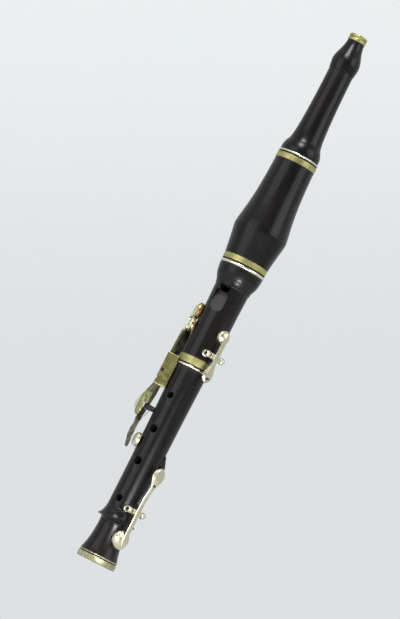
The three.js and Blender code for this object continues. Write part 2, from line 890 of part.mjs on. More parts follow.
function tipRing() {
  const foot = mouthTop - tipRingHeight;
  const middle = foot + tipRingHeight / 2;
  const inner = tipRingRadius - tipRingWall;
  const groove = tipRingGroove / 2;
  return revolved([
    [inner, foot],
    [tipRingRadius - groove, foot],
    [tipRingRadius, foot + groove],
    [tipRingRadius, middle - groove],
    [tipRingRadius - tipRingGroove, middle],
    [tipRingRadius, middle + groove],
    [tipRingRadius, mouthTop - tipRingGroove],
    [tipRingRadius - tipRingGroove, mouthTop],
    [inner, mouthTop],
  ]);
}

function lapping(tenonRadius, foot, top) {
  const inner = tenonRadius + ringGap;
  const outer = tenonRadius + lappingThickness;
  return revolved([[inner, foot], [outer, foot + lappingThickness], [outer, top - lappingThickness], [inner, top]]);
}

function ferrule(radius, foot, height) {
  const inner = radius - ferruleWall;
  const top = foot + height;
  return revolved([[inner, foot], [radius, foot], [radius, top], [inner, top]]);
}

// Pieces that every key has, in its own frame

function cupAt(key, turn, padRise) {
  return laidRadial(cup(key)).translate(padRise + padShow, 0, key.cupHeight).rotateZ(radians(turn));
}

function padAt(key, turn, padRise) {
  return laidRadial(padDisc(key)).translate(padRise, 0, key.cupHeight).rotateZ(radians(turn));
}

function pivotHole(rise, height, reach) {
  return laidAcross(cylinder(pivotRadius + boreGap, -reach, reach, screwSides)).translate(rise, 0, height);
}

function rivetHole(place, outside) {
  return laidRadial(cylinder(rivetRadius + boreGap, 0, outside, rivetSides)).translate(0, place.y, place.z);
}

// A rivet through a lever and the root of its spring
function rivetAt(place, thickness = leverThickness) {
  const foot = place.x - thickness / 2 - springThickness - setGap * 2;
  return laidRadial(rivet(thickness + springThickness + setGap * 4)).translate(foot, place.y, place.z);
}

// A leaf spring from under its rivet to its tip by the wood
function leafSpring(placeAt, key, thickness = leverThickness) {
  const way = Math.sign(key.springTip - key.rivetHeight);
  const offset = thickness / 2 + setGap + springThickness / 2;
  const place = placeAt(key.rivetHeight);
  const [root, bend] = [-1, 1].map((side) => {
    const height = key.rivetHeight + (side * way * springWidth) / 2;
    return [placeAt(height).x - offset, place.y, height];
  });
  const tip = [key.springTipRise, place.y, key.springTip];
  const path = new THREE.CatmullRomCurve3([root, bend, tip].map((point) => new THREE.Vector3(...point)));
  const places = path.getPoints(springSteps);
  if (way < 0) places.reverse();
  const leaf = bar(places.map((spot) => ({ place: spot, width: springWidth, thickness: springThickness })), leafSides);
  return cutBy(leaf, [rivetHole(place, place.x * 2)]);
}

// A key between two ball posts: touch, lever, hinge tube and cup in one
function sideKeyBody(key, padRise) {
  const nearTouch = THREE.MathUtils.lerp(key.pivotHeight, key.touchRoot, 0.5);
  const touchMiddle = THREE.MathUtils.lerp(key.touchRoot, key.touchTip, 0.5);
  const { geometry, placeAt } = keyBar(key, [
    [key.leverEndRise, 0, key.leverEnd],
    [key.leverRise, 0, key.cupHeight],
    [key.leverRise, 0, key.pivotHeight],
    [key.leverRise, 0, nearTouch],
    [key.touchRise, 0, touchMiddle],
    [key.touchRise, 0, key.touchTip],
  ]);
  const half = key.postSpread - ballRadius - setGap;
  const tube = laidAcross(cylinder(hingeTubeRadius, -half, half, screwSides));
  tube.translate(key.pivotRise, 0, key.pivotHeight);
  const rivetPlace = placeAt(key.rivetHeight);
  const holes = [pivotHole(key.pivotRise, key.pivotHeight, key.postSpread), rivetHole(rivetPlace, rivetPlace.x * 2)];
  return { body: cutBy(joined(geometry, cupAt(key, 0, padRise), tube), holes), placeAt };
}

function sidePost(key, side, tubeRadius) {
  const distance = Math.hypot(key.pivotRise, key.postSpread);
  const foot = tubeRadius + ringGap;
  const post = laidRadial(ballPost(distance - foot)).translate(foot, 0, key.pivotHeight);
  post.rotateZ(radians(side * postAngle(key)));
  const outer = key.postSpread + ballRadius;
  const holes = [pivotHole(key.pivotRise, key.pivotHeight, outer * 2)];
  if (side < 0) {
    const recess = cylinder(pivotHeadRadius + boreGap, -outer * 2, pivotHeadRecess - outer, screwSides);
    holes.push(laidAcross(recess).translate(key.pivotRise, 0, key.pivotHeight));
  }
  return cutBy(post, holes);
}

function addSideKey(name, key, tubeRadius) {
  const group = addTurnedGroup(key.turn);
  const padRise = tubeRadius - padSeatDepth + setGap;
  const { body, placeAt } = sideKeyBody(key, padRise);
  const outer = key.postSpread + ballRadius;
  const screw = laidAcross(pivotScrew(outer * 2 - pivotHeadInset * 2));
  addPiece(group, `${name}_key`, body, paleSilver);
  addPiece(group, `${name}_key_pad`, padAt(key, 0, padRise), redLeather);
  addPiece(group, `${name}_key_spring`, leafSpring(placeAt, key), springSteel);
  addPiece(group, `${name}_key_rivet`, rivetAt(placeAt(key.rivetHeight)), darkSteel);
  addPiece(group, `${name}_key_screw`, screw.translate(key.pivotRise, pivotHeadInset - outer, key.pivotHeight), darkSteel);
  addPiece(group, `${name}_key_left_post`, sidePost(key, -1, tubeRadius), paleSilver);
  addPiece(group, `${name}_key_right_post`, sidePost(key, 1, tubeRadius), paleSilver);
}

// The brass saddle: a curved foot, two outer walls and a rib between two channels
const saddleHalf = saddleRib / 2 + channelWidth + saddleWall;
const saddleScrewHeights = [saddleFoot + saddleScrewInset, jointHeight - saddleScrewInset];
const saddleFootGap = ringGap * 2;

function saddle() {
  const block = box([saddleSkirt, -saddleHalf, saddleFoot], [saddleRise, saddleHalf, saddleTop]);
  const channels = [-1, 1].map((side) => {
    const middle = side * channelCentre;
    const low = [saddleFloorRise, middle - channelWidth / 2, saddleFoot - cutOverrun];
    return box(low, [saddleRise * 2, middle + channelWidth / 2, saddleTop + cutOverrun]);
  });
  const wood = revolved([
    [0, saddleFoot - cutOverrun],
    [jointRadius + saddleFootGap, saddleFoot - cutOverrun],
    [jointRadius + saddleFootGap, jointHeight - ringGap],
    [socketFerruleRadius + saddleFootGap, jointHeight - ringGap],
    [socketFerruleRadius + saddleFootGap, saddleTop + cutOverrun],
    [0, saddleTop + cutOverrun],
  ]);
  const notch = laidAcross(cylinder(notchRadius, channelCentre, saddleHalf * 2, screwSides));
  notch.translate(saddleRise, 0, saddleFoot + notchRise);
  const pin = laidAcross(cylinder(pivotRadius + boreGap, -channelCentre, saddleHalf * 2, screwSides));
  pin.translate(keyA.pivotRise, 0, keyA.pivotHeight);
  const screws = saddleScrewHeights.map((height) => laidRadial(saddleScrewClearance()).translate(0, -channelCentre, height));
  return cutBy(block, [...channels, wood, notch, pin, ...screws]);
}

// Room for a countersunk screw in the saddle's floor, along Z with its head's top on the floor
function saddleScrewClearance() {
  const headFootRise = saddleFloorRise - saddleScrewHeadHeight;
  return revolved([
    [0, 0],
    [saddleScrewRadius + ringGap, 0],
    [saddleScrewRadius + ringGap, headFootRise - ringGap],
    [saddleScrewHeadRadius + ringGap, headFootRise - ringGap],
    [saddleScrewHeadRadius + ringGap, saddleRise],
    [0, saddleRise],
  ], screwSides);
}

function saddleScrewHole(height) {
  const foot = saddleFloorRise - saddleScrewLength - setGap;
  const hole = cylinder(saddleScrewRadius + ringGap, foot, saddleRise, screwSides);
  return atTurn(laidRadial(hole).translate(0, -channelCentre, height), saddleTurn);
}

function saddleScrew(height) {
  const headFootRise = saddleFloorRise - saddleScrewHeadHeight;
  const screw = revolved([
    [0, saddleFloorRise - saddleScrewLength],
    [saddleScrewRadius, saddleFloorRise - saddleScrewLength],
    [saddleScrewRadius, headFootRise],
    [saddleScrewHeadRadius, headFootRise],
    [saddleScrewHeadRadius, saddleFloorRise],
    [0, saddleFloorRise],
  ], screwSides);
  return laidRadial(screw).translate(0, -channelCentre, height);
}

// Where the two long keys' cups stand round the head
const keyATurn = saddleTurn + keyA.cupTurn;
const keyBTurn = saddleTurn + keyB.cupTurn;
const longPadRise = socketFerruleRadius + longPadGap;

function cupPlace(key) {
  const turn = radians(key.cupTurn);
  return [key.cupRise * Math.cos(turn), key.cupRise * Math.sin(turn)];
}

// The boss that thickens a long lever round its pivot
function pivotBoss({ pivotRise, pivotHeight }, lane) {
  const half = saddleLeverWidth / 2 + pivotBossShow;
  return laidAcross(cylinder(pivotBossRadius, -half, half, screwSides)).translate(pivotRise, lane, pivotHeight);
}

function addKeyA(group) {
  const [cupOut, cupAcross] = cupPlace(keyA);
  const lane = channelCentre;
  const touchMiddle = THREE.MathUtils.lerp(keyA.touchRoot, keyA.touchTip, 0.5);
  const { geometry, placeAt } = keyBar(keyA, [
    [cupOut, cupAcross, keyA.leverEnd],
    [cupOut, cupAcross, keyA.cupHeight],
    [keyA.pivotRise, lane, saddleTop],
    [keyA.pivotRise, lane, keyA.pivotHeight],
    [keyA.pivotRise, lane, saddleFoot],
    [keyA.touchRootRise, lane, keyA.touchRoot],
    [keyA.touchCrestRise, lane, touchMiddle],
    [keyA.touchTipRise, lane, keyA.touchTip],
  ], saddleLeverWidth, saddleLeverThickness);
  const rivetPlace = placeAt(keyA.rivetHeight);
  const holes = [pivotHole(keyA.pivotRise, keyA.pivotHeight, saddleRise), rivetHole(rivetPlace, rivetPlace.x * 2)];
  const body = cutBy(joined(geometry, pivotBoss(keyA, lane), cupAt(keyA, keyA.cupTurn, longPadRise)), holes);
  const screw = pivotScrew(saddleHalf + pivotHeadHeight).rotateX(Math.PI / 2);
  screw.translate(keyA.pivotRise, saddleHalf + pivotHeadHeight + ringGap, keyA.pivotHeight);
  addPiece(group, 'saddle_key', body, paleSilver);
  addPiece(group, 'saddle_key_pad', padAt(keyA, keyA.cupTurn, longPadRise), redLeather);
  addPiece(group, 'saddle_key_spring', leafSpring(placeAt, keyA, saddleLeverThickness), springSteel);
  addPiece(group, 'saddle_key_rivet', rivetAt(rivetPlace, saddleLeverThickness), darkSteel);
  addPiece(group, 'saddle_key_screw', screw, darkSteel);
}

function addKeyB(group) {
  const [cupOut, cupAcross] = cupPlace(keyB);
  const lane = -channelCentre;
  const passHeight = keyA.cupHeight - keyA.cupRadius;
  const { geometry, placeAt } = keyBar(keyB, [
    [cupOut, cupAcross, keyB.leverEnd],
    [cupOut, cupAcross, keyB.cupHeight],
    [keyB.passRise, -keyB.passAcross, keyA.cupHeight],
    [keyB.passRise, -keyB.passAcross, passHeight],
    [keyB.channelRise, lane, saddleTop],
    [keyB.channelRise, lane, saddleFoot],
    [keyB.pivotRise, lane, keyB.pivotHeight],
    [keyB.touchCrestRise, -keyB.touchAcross, keyB.pivotHeight + keyB.touchCrestReach],
    [keyB.touchTipRise, -keyB.touchAcross, keyB.touchTip],
  ], saddleLeverWidth, saddleLeverThickness);
  const rivetPlace = placeAt(keyB.rivetHeight);
  const holes = [pivotHole(keyB.pivotRise, keyB.pivotHeight, saddleRise), rivetHole(rivetPlace, rivetPlace.x * 2)];
  const body = cutBy(joined(geometry, pivotBoss(keyB, lane), cupAt(keyB, keyB.cupTurn, longPadRise)), holes);
  const screw = pivotScrew(forkHalf * 2 + pivotHeadHeight).rotateX(Math.PI / 2);
  screw.translate(keyB.pivotRise, lane + forkHalf + pivotHeadHeight + ringGap, keyB.pivotHeight);
  addPiece(group, 'long_key', body, paleSilver);
  addPiece(group, 'long_key_pad', padAt(keyB, keyB.cupTurn, longPadRise), redLeather);
  addPiece(group, 'long_key_spring', leafSpring(placeAt, keyB, saddleLeverThickness), springSteel);
  addPiece(group, 'long_key_rivet', rivetAt(rivetPlace, saddleLeverThickness), darkSteel);
  addPiece(group, 'long_key_screw', screw, darkSteel);
  addPiece(group, 'long_key_post', forkPost(), agedBrass);
}

// The lower joint's radius where the cross key stands on it
const crossTubeRadius = jointRadiusAt(crossKey.height + crossKey.postSpread);

// The forked post that carries the long key below the saddle
const forkHalf = saddleLeverWidth / 2 + pivotBossShow + setGap + keyB.forkWall;
const forkSeat = jointRadiusAt(keyB.pivotHeight);

function forkPost() {
  const lane = -channelCentre;
  const halfLength = keyB.forkLength / 2;
  const slotFoot = keyB.pivotRise - pivotBossRadius - setGap;
  const forkFoot = slotFoot - keyB.forkWall;
  const shank = cylinder(keyB.shankRadius, forkSeat + ringGap, slotFoot - ringGap, screwSides);
  const tail = cylinder(postShankRadius, forkSeat - postDepth, forkFoot + ringGap, screwSides);
  const top = keyB.pivotRise + keyB.forkWall + pivotRadius;
  const fork = box([forkFoot, -forkHalf, -halfLength], [top, forkHalf, halfLength]);
  const slotHalf = forkHalf - keyB.forkWall;
  const slot = box([slotFoot, -slotHalf, -keyB.forkLength], [top * 2, slotHalf, keyB.forkLength]);
  const pin = laidAcross(cylinder(pivotRadius + boreGap, -top, top, screwSides)).translate(keyB.pivotRise, 0, 0);
  const post = cutBy(joined(laidRadial(shank), laidRadial(tail), fork), [slot, pin]);
  return post.translate(0, lane, keyB.pivotHeight);
}

function forkPostHole() {
  const foot = forkSeat - postDepth - setGap;
  const hole = cylinder(postShankRadius + ringGap, foot, forkSeat * 2, screwSides);
  return atTurn(laidRadial(hole).translate(0, -channelCentre, keyB.pivotHeight), saddleTurn);
}

// The cross key runs round the tube, so its stations stand at turns instead of heights
function crossStation(turn, rise, width, thickness, dish) {
  const angle = turnAngle(turn);
  const outward = new THREE.Vector3(Math.cos(angle), Math.sin(angle), 0);
  const place = outward.clone().multiplyScalar(rise).setZ(crossKey.height);
  return { place, outward, across: upWay, width, thickness, dish };
}

function crossKeyBody(padRise) {
  const { cupTurn, hingeTurn, touchRootTurn, touchTipTurn, leverRise, pivotRise, height } = crossKey;
  const stations = [];
  for (let step = 0; step <= leverSteps; step += 1) {
    const turn = THREE.MathUtils.lerp(cupTurn, touchRootTurn, step / leverSteps);
    const share = clampShare((turn - cupTurn) / (hingeTurn - cupTurn));
    const width = THREE.MathUtils.lerp(crossKey.tailWidth, crossKey.leverWidth, share);
    stations.push(crossStation(turn, leverRise, width, leverThickness, 0));
  }
  for (const share of touchStepShares) {
    const turn = THREE.MathUtils.lerp(touchRootTurn, touchTipTurn, share);
    const width = touchWidthAt(share, crossKey.leverWidth, crossKey.touchWidth);
    stations.push(crossStation(turn, leverRise, width, leverThickness, touchDish * clampShare(share * 2)));
  }
  const half = crossKey.postSpread - ballRadius - setGap;
  const tube = atTurn(cylinder(hingeTubeRadius, height - half, height + half, screwSides).translate(pivotRise, 0, 0), hingeTurn);
  const dome = atTurn(cupAt({ ...crossKey, cupHeight: height }, 0, padRise), cupTurn);
  return cutBy(joined(bar(stations), dome, tube), [crossPivotHole(), crossRivetHole()]);
}

function crossPivotHole() {
  const reach = crossKey.postSpread * 2;
  const hole = cylinder(pivotRadius + boreGap, crossKey.height - reach, crossKey.height + reach, screwSides);
  return atTurn(hole.translate(crossKey.pivotRise, 0, 0), crossKey.hingeTurn);
}

function crossRivetHole() {
  return drill(crossKey.rivetTurn, crossKey.height, rivetRadius + boreGap, 0, crossKey.leverRise * 2);
}

function crossPost(side) {
  const foot = crossTubeRadius + ringGap;
  const height = crossKey.height + side * crossKey.postSpread;
  const post = atTurn(laidRadial(ballPost(crossKey.pivotRise - foot)).translate(foot, 0, height), crossKey.hingeTurn);
  const holes = [crossPivotHole()];
  if (side < 0) {
    const outer = height - ballRadius;
    const recess = cylinder(pivotHeadRadius + boreGap, outer - ballRadius, outer + pivotHeadRecess, screwSides);
    holes.push(atTurn(recess.translate(crossKey.pivotRise, 0, 0), crossKey.hingeTurn));
  }
  return cutBy(post, holes);
}

function crossSpring() {
  const { rivetTurn, springTipTurn, springTipRise, leverRise } = crossKey;
  const rootRise = leverRise - leverThickness / 2 - setGap - springThickness / 2;
  const rootTurn = rivetTurn - (rivetTurn < springTipTurn ? 1 : -1) * springRootTurn;
  const stations = [];
  for (let step = 0; step <= springSteps; step += 1) {
    const share = step / springSteps;
    const turn = THREE.MathUtils.lerp(springTipTurn, rootTurn, share);
    const rise = THREE.MathUtils.lerp(springTipRise, rootRise, Math.sin((share * Math.PI) / 2));
    stations.push(crossStation(turn, rise, springWidth, springThickness, 0));
  }
  return cutBy(bar(stations, leafSides), [crossRivetHole()]);
}

function addCrossKey() {
  const { cupTurn, hingeTurn, rivetTurn, height, leverRise, pivotRise, postSpread } = crossKey;
  const padRise = crossTubeRadius - padSeatDepth + setGap;
  const outer = postSpread + ballRadius;
  const screw = pivotScrew(outer * 2 - pivotHeadInset * 2).translate(pivotRise, 0, height - outer + pivotHeadInset);
  const rivetPiece = rivetAt(new THREE.Vector3(leverRise, 0, height));
  addPiece(part, 'cross_key', crossKeyBody(padRise), paleSilver);
  addPiece(part, 'cross_key_pad', atTurn(padAt({ ...crossKey, cupHeight: height }, 0, padRise), cupTurn), redLeather);
  addPiece(part, 'cross_key_spring', crossSpring(), springSteel);
  addPiece(part, 'cross_key_rivet', atTurn(rivetPiece, rivetTurn), darkSteel);
  addPiece(part, 'cross_key_screw', atTurn(screw, hingeTurn), darkSteel);
  addPiece(part, 'cross_key_lower_post', crossPost(-1), paleSilver);
  addPiece(part, 'cross_key_upper_post', crossPost(1), paleSilver);
}

// Assembly

addPiece(part, 'foot_ring', footRing(), agedBrass);
addPiece(part, 'lower_joint', lowerJoint(), darkWood);
addPiece(
  part,
  'lower_joint_ring',
  roundedRing(jointTenonRadius + ringGap, jointRingRadius, jointHeight + ringGap, jointRingHeight, beadRounding),
  brightRing,
);
addPiece(
  part,
  'lower_joint_lapping',
  lapping(jointTenonRadius, headFoot + lappingMargin, tenonTop - lappingMargin),
  waxedThread,
);

addPiece(part, 'head_socket_ferrule', ferrule(socketFerruleRadius, headFoot, socketFerruleHeight), agedBrass);
addPiece(part, 'head_joint', headJoint(), darkWood);
addPiece(part, 'windway_block', windwayBlock(), paleWood);
addPiece(
  part,
  'head_shoulder_ring',
  roundedRing(capTenonRadius + ringGap, headRingRadius, headShoulder + ringGap, headRingHeight, beadRounding),
  brightRing,
);
addPiece(part, 'head_lapping', lapping(capTenonRadius, capFoot + lappingMargin, headTop - lappingMargin), waxedThread);

addPiece(part, 'windcap_lower_ferrule', ferrule(capFootFerruleRadius, capFoot, capFootFerruleHeight), agedBrass);
addPiece(part, 'windcap_barrel', windcapBarrel(), darkWood);
addPiece(
  part,
  'windcap_upper_ferrule',
  ferrule(capTopFerruleRadius, capTop - capTopFerruleHeight, capTopFerruleHeight),
  agedBrass,
);
addPiece(part, 'sponge', sponge(), softSponge);

addPiece(
  part,
  'mouthpiece_ring',
  roundedRing(mouthTenonRadius + ringGap, mouthRingRadius, mouthRingFoot, mouthRingHeight - ringGap, beadRounding),
  brightRing,
);
addPiece(part, 'mouthpiece', mouthpiece(), darkWood);
addPiece(part, 'mouthpiece_tip_ring', tipRing(), agedBrass);
addPiece(
  part,
  'mouthpiece_lapping',
  lapping(mouthTenonRadius, mouthTenonFoot + lappingMargin, mouthRingFoot - lappingMargin),
  waxedThread,
);

addSideKey('low', lowKey, waistRadius);
addSideKey('upper', upperKey, headRadius);
addCrossKey();

const saddleGroup = addTurnedGroup(saddleTurn);
addPiece(saddleGroup, 'saddle', saddle(), agedBrass);
addPiece(saddleGroup, 'saddle_lower_screw', saddleScrew(saddleScrewHeights[0]), darkSteel);
addPiece(saddleGroup, 'saddle_upper_screw', saddleScrew(saddleScrewHeights[1]), darkSteel);
addKeyA(saddleGroup);
addKeyB(saddleGroup);

export default part;
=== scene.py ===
import math

import bpy
from mathutils import Matrix, Vector


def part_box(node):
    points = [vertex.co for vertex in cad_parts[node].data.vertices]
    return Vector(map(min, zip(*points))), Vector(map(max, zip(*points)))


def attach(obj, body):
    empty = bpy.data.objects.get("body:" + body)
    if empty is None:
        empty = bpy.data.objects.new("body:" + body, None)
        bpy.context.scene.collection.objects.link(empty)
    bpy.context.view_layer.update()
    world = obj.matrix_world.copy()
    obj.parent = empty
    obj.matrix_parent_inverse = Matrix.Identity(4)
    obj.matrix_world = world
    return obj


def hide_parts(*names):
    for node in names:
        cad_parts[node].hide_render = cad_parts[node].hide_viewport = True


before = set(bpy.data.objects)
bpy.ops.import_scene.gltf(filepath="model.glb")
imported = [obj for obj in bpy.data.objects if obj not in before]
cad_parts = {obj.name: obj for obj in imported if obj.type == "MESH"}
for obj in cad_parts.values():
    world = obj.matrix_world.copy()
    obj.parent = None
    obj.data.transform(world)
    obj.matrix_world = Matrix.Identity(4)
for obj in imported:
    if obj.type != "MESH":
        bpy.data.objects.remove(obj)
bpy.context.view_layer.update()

mm = 0.001
weldGap = 0.002 * mm
axisZ = (0.0, 0.0, 1.0)
origin = (0.0, 0.0, 0.0)


# Selecting and finishing, used by every piece

def deselectAll():
    if bpy.context.mode != "OBJECT":
        bpy.ops.object.mode_set(mode="OBJECT")
    bpy.ops.object.select_all(action="DESELECT")


def makeActive(piece):
    deselectAll()
    piece.select_set(True)
    bpy.context.view_layer.objects.active = piece


def newest(name):
    piece = bpy.context.active_object
    piece.name = name
    piece.data.name = name
    return piece


def modify(piece, kind, **settings):  # adds a modifier and applies it at once
    makeActive(piece)
    modifier = piece.modifiers.new(kind.title(), kind)
    for key, value in settings.items():
        setattr(modifier, key, value)
    bpy.ops.object.modifier_apply(modifier=modifier.name)


def settle(piece):  # leaves the place in the mesh, with the object at the origin
    makeActive(piece)
    bpy.ops.object.transform_apply(location=True, rotation=True, scale=True)


def shadeSmooth(piece, degrees=35):
    makeActive(piece)
    bpy.ops.object.shade_smooth_by_angle(angle=math.radians(degrees))


def selectNothing():  # inside the active mesh, so that faces or points can be picked in code
    bpy.ops.object.mode_set(mode="EDIT")
    bpy.ops.mesh.select_all(action="DESELECT")
    bpy.ops.object.mode_set(mode="OBJECT")


def faceOutwards(piece):
    makeActive(piece)
    bpy.ops.object.mode_set(mode="EDIT")
    bpy.ops.mesh.select_all(action="SELECT")
    bpy.ops.mesh.remove_doubles(threshold=weldGap)
    bpy.ops.mesh.normals_make_consistent(inside=False)
    bpy.ops.object.mode_set(mode="OBJECT")


def curveThrough(points, steps):  # a smooth run of [radius, height] through a few points, in mm
    ends = [points[0], *points, points[-1]]
    run = []
    for before, start, end, after in zip(ends, ends[1:], ends[2:], ends[3:]):
        for step in range(steps):
            t = step / steps
            run.append([
                0.5 * (2 * b + (c - a) * t + (2 * a - 5 * b + 4 * c - d) * t ** 2 + (3 * b - a - 3 * c + d) * t ** 3)
                for a, b, c, d in zip(before, start, end, after)
            ])
    return run + [list(points[-1])]


def easeCorners(outline, ease):  # cuts each sharp corner of an outline into a small round
    eased = []
    count = len(outline)
    for index, point in enumerate(outline):
        before = Vector(outline[index - 1])
        here = Vector(point)
        after = Vector(outline[(index + 1) % count])
        back, on = before - here, after - here
        if min(back.length, on.length) < 1e-6 or back.angle(on) > math.radians(150):
            eased.append(list(point))
            continue
        reach = min(ease, back.length * 0.4, on.length * 0.4)
        first, last = here + back.normalized() * reach, here + on.normalized() * reach
        for share in (0, 0.25, 0.5, 0.75, 1):
            nearFirst, nearLast = first.lerp(here, share), here.lerp(last, share)
            eased.append(list(nearFirst.lerp(nearLast, share)))
    return eased


def outlineOf(kit):  # joins a piece's runs, each curved in some steps between its points or straight with 0
    outline = []
    for name, steps in kit["runs"]:
        outline += curveThrough(kit[name], steps) if steps else kit[name]
    return outline


def turned(name, outline, sides=128, ease=0.15, closed=True):  # outline of [radius, height] in mm, spun round Z
    if closed:
        outline = easeCorners(outline, ease)
    points = [Vector((radius * mm, 0, height * mm)) for radius, height in outline]
    deselectAll()
    bpy.ops.mesh.primitive_plane_add(size=mm, location=points[0])
    piece = newest(name)
    bpy.ops.object.transform_apply(location=True, rotation=False, scale=False)
    bpy.ops.object.mode_set(mode="EDIT")
    bpy.ops.mesh.select_all(action="SELECT")
    bpy.ops.mesh.merge(type="CENTER")
    for before, after in zip(points, points[1:] + (points[:1] if closed else [])):
        bpy.ops.mesh.extrude_region_move(TRANSFORM_OT_translate={"value": after - before})
    bpy.ops.mesh.select_all(action="SELECT")
    bpy.ops.mesh.spin(steps=sides, angle=2 * math.pi, center=origin, axis=axisZ)
    bpy.ops.object.mode_set(mode="OBJECT")
    faceOutwards(piece)
    return piece


def radialWay(turn):  # straight out from the bore, at a turn from the front in degrees
    return Vector((math.sin(math.radians(turn)), -math.cos(math.radians(turn)), 0.0))


def sizedBlock(name, low, high):  # a block between two corners in mm
    deselectAll()
    bpy.ops.mesh.primitive_cube_add(size=mm, location=[(a + b) / 2 * mm for a, b in zip(low, high)])
    block = newest(name)
    block.scale = [b - a for a, b in zip(low, high)]
    settle(block)
    return block


def standAt(piece, turn, rise, height, lay=True):  # lays a piece made along Z outward from the bore at a turn
    if lay:
        piece.rotation_euler = (0, math.radians(90), 0)
    piece.location = (rise * mm, 0, height * mm)
    settle(piece)
    piece.rotation_euler = (0, 0, math.radians(turn - 90))
    settle(piece)
    return piece


def carve(piece, *cutters):
    for cutter in cutters:
        modify(piece, "BOOLEAN", operation="DIFFERENCE", object=cutter, solver="EXACT")
        bpy.data.objects.remove(cutter)


def unite(piece, *others):
    for other in others:
        modify(piece, "BOOLEAN", operation="UNION", object=other, solver="EXACT")
        bpy.data.objects.remove(other)


def copyOf(name, node):  # a merged copy of a solid of the frame, to be finished further
    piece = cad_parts[node].copy()
    piece.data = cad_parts[node].data.copy()
    for key in [key for key in piece.keys() if key.startswith("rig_")]:
        del piece[key]
    piece.parent = None
    piece.name = name
    piece.data.name = name
    bpy.context.scene.collection.objects.link(piece)
    faceOutwards(piece)
    return piece


def handOver(piece, body, slot, material, *nodes):
    piece.data.materials.clear()
    piece.data.materials.append(material)
    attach(piece, body)
    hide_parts(*nodes)


def markFaces(piece, name, chosen):  # keeps a value on each face, by its middle and normal in mm
    kept = piece.data.attributes.new(name, "FLOAT", "FACE")
    for face in piece.data.polygons:
        kept.data[face.index].value = float(chosen(face.center / mm, face.normal))


# Camera and light

cameraSet = {
    "distance": 1.9, "turn": 30.0, "height": -0.001, "roll": 26.71,
    "aim": (-0.01158, -0.00668, 0.18381), "lens": 109.59, "film": 24.0,
}


def placeCamera(kit):
    turn = math.radians(kit["turn"])
    place = Vector((kit["distance"] * math.sin(turn), -kit["distance"] * math.cos(turn), kit["height"]))
    forward = (Vector(kit["aim"]) - place).normalized()
    side = forward.cross(Vector(axisZ)).normalized()
    above = side.cross(forward)
    roll = math.radians(kit["roll"])
    right = side * math.cos(roll) + above * math.sin(roll)
    up = above * math.cos(roll) - side * math.sin(roll)
    bpy.ops.object.camera_add()
    camera = bpy.context.active_object
    camera.name = "photoCamera"
    camera.matrix_world = Matrix.Translation(place) @ Matrix((right, up, -forward)).transposed().to_4x4()
    camera.data.sensor_fit = "VERTICAL"
    camera.data.sensor_height = kit["film"]
    camera.data.lens = kit["lens"]
    camera.data.clip_start = 0.01
    bpy.context.scene.camera = camera
    return right, up, -forward


deselectAll()
viewRight, viewUp, viewBack = placeCamera(cameraSet)
bpy.context.scene.view_settings.view_transform = "Standard"
print("camera placed")

lampSet = {
    "middle": (0.0, 0.0, 0.2),
    "lamps": {
        "topBox": {"way": (0.14, 0.87, 0.47), "distance": 1.1, "size": 0.36, "power": 8.5},
        "leftBox": {"way": (-0.58, 0.45, 0.68), "distance": 1.2, "size": 0.9, "power": 4.8},
        "rightBox": {"way": (0.9, 0.15, 0.45), "distance": 1.4, "size": 0.9, "power": 6.0},
        "lowBox": {"way": (-0.01, -0.50, 0.86), "distance": 0.33, "size": 0.035, "power": 0.75, "across": 0.11},
    },
}


def hangLamp(name, middle, way, distance, size, power, across=0.0):  # the way is across, up and towards the camera
    out = (viewRight * way[0] + viewUp * way[1] + viewBack * way[2]).normalized()
    bpy.ops.object.light_add(type="AREA", location=Vector(middle) + out * distance)
    lamp = bpy.context.active_object
    lamp.name = name
    lamp.data.shape = "RECTANGLE"
    lamp.data.size = across or size
    lamp.data.size_y = size
    lamp.data.energy = power
    lamp.rotation_euler = out.to_track_quat("Z", "Y").to_euler()
    lamp.visible_camera = False


for lampName, lamp in lampSet["lamps"].items():
    deselectAll()
    hangLamp(lampName, lampSet["middle"], **lamp)
print("lamps hung")


# Shader maths: a socket that adds, takes away and multiplies

class Wire:
    def __init__(self, tree, socket):
        self.tree = tree
        self.socket = socket

    def into(self, slot):
        self.tree.links.new(self.socket, slot)

    def join(self, operation, left, right):
        return Shading(self.tree).node("Math", {"operation": operation}, {0: left, 1: right})

    def __add__(self, other):
        return self.join("ADD", self, other)

    def __radd__(self, other):
        return self.join("ADD", other, self)

    def __sub__(self, other):
        return self.join("SUBTRACT", self, other)

    def __rsub__(self, other):
        return self.join("SUBTRACT", other, self)

    def __mul__(self, other):
        return self.join("MULTIPLY", self, other)

    def __rmul__(self, other):
        return self.join("MULTIPLY", other, self)


class Shading:  # the nodes of one material, or of the world
    def __init__(self, tree):
        self.tree = tree

    def node(self, kind, settings=None, sockets=None, output=0):
        made = self.tree.nodes.new("ShaderNode" + kind)
        for key, value in (settings or {}).items():
            setattr(made, key, value)
        for key, value in (sockets or {}).items():
            if isinstance(value, Wire):
                value.into(made.inputs[key])
            else:
                made.inputs[key].default_value = value
        return Wire(self.tree, made.outputs[output])

    def mixed(self, factor, first, second, blend="MIX"):
        first, second = [(*value, 1.0) if isinstance(value, tuple) else value for value in (first, second)]
        settings = {"data_type": "RGBA", "blend_type": blend}
        return self.node("Mix", settings, {0: factor, 6: first, 7: second}, output=2)


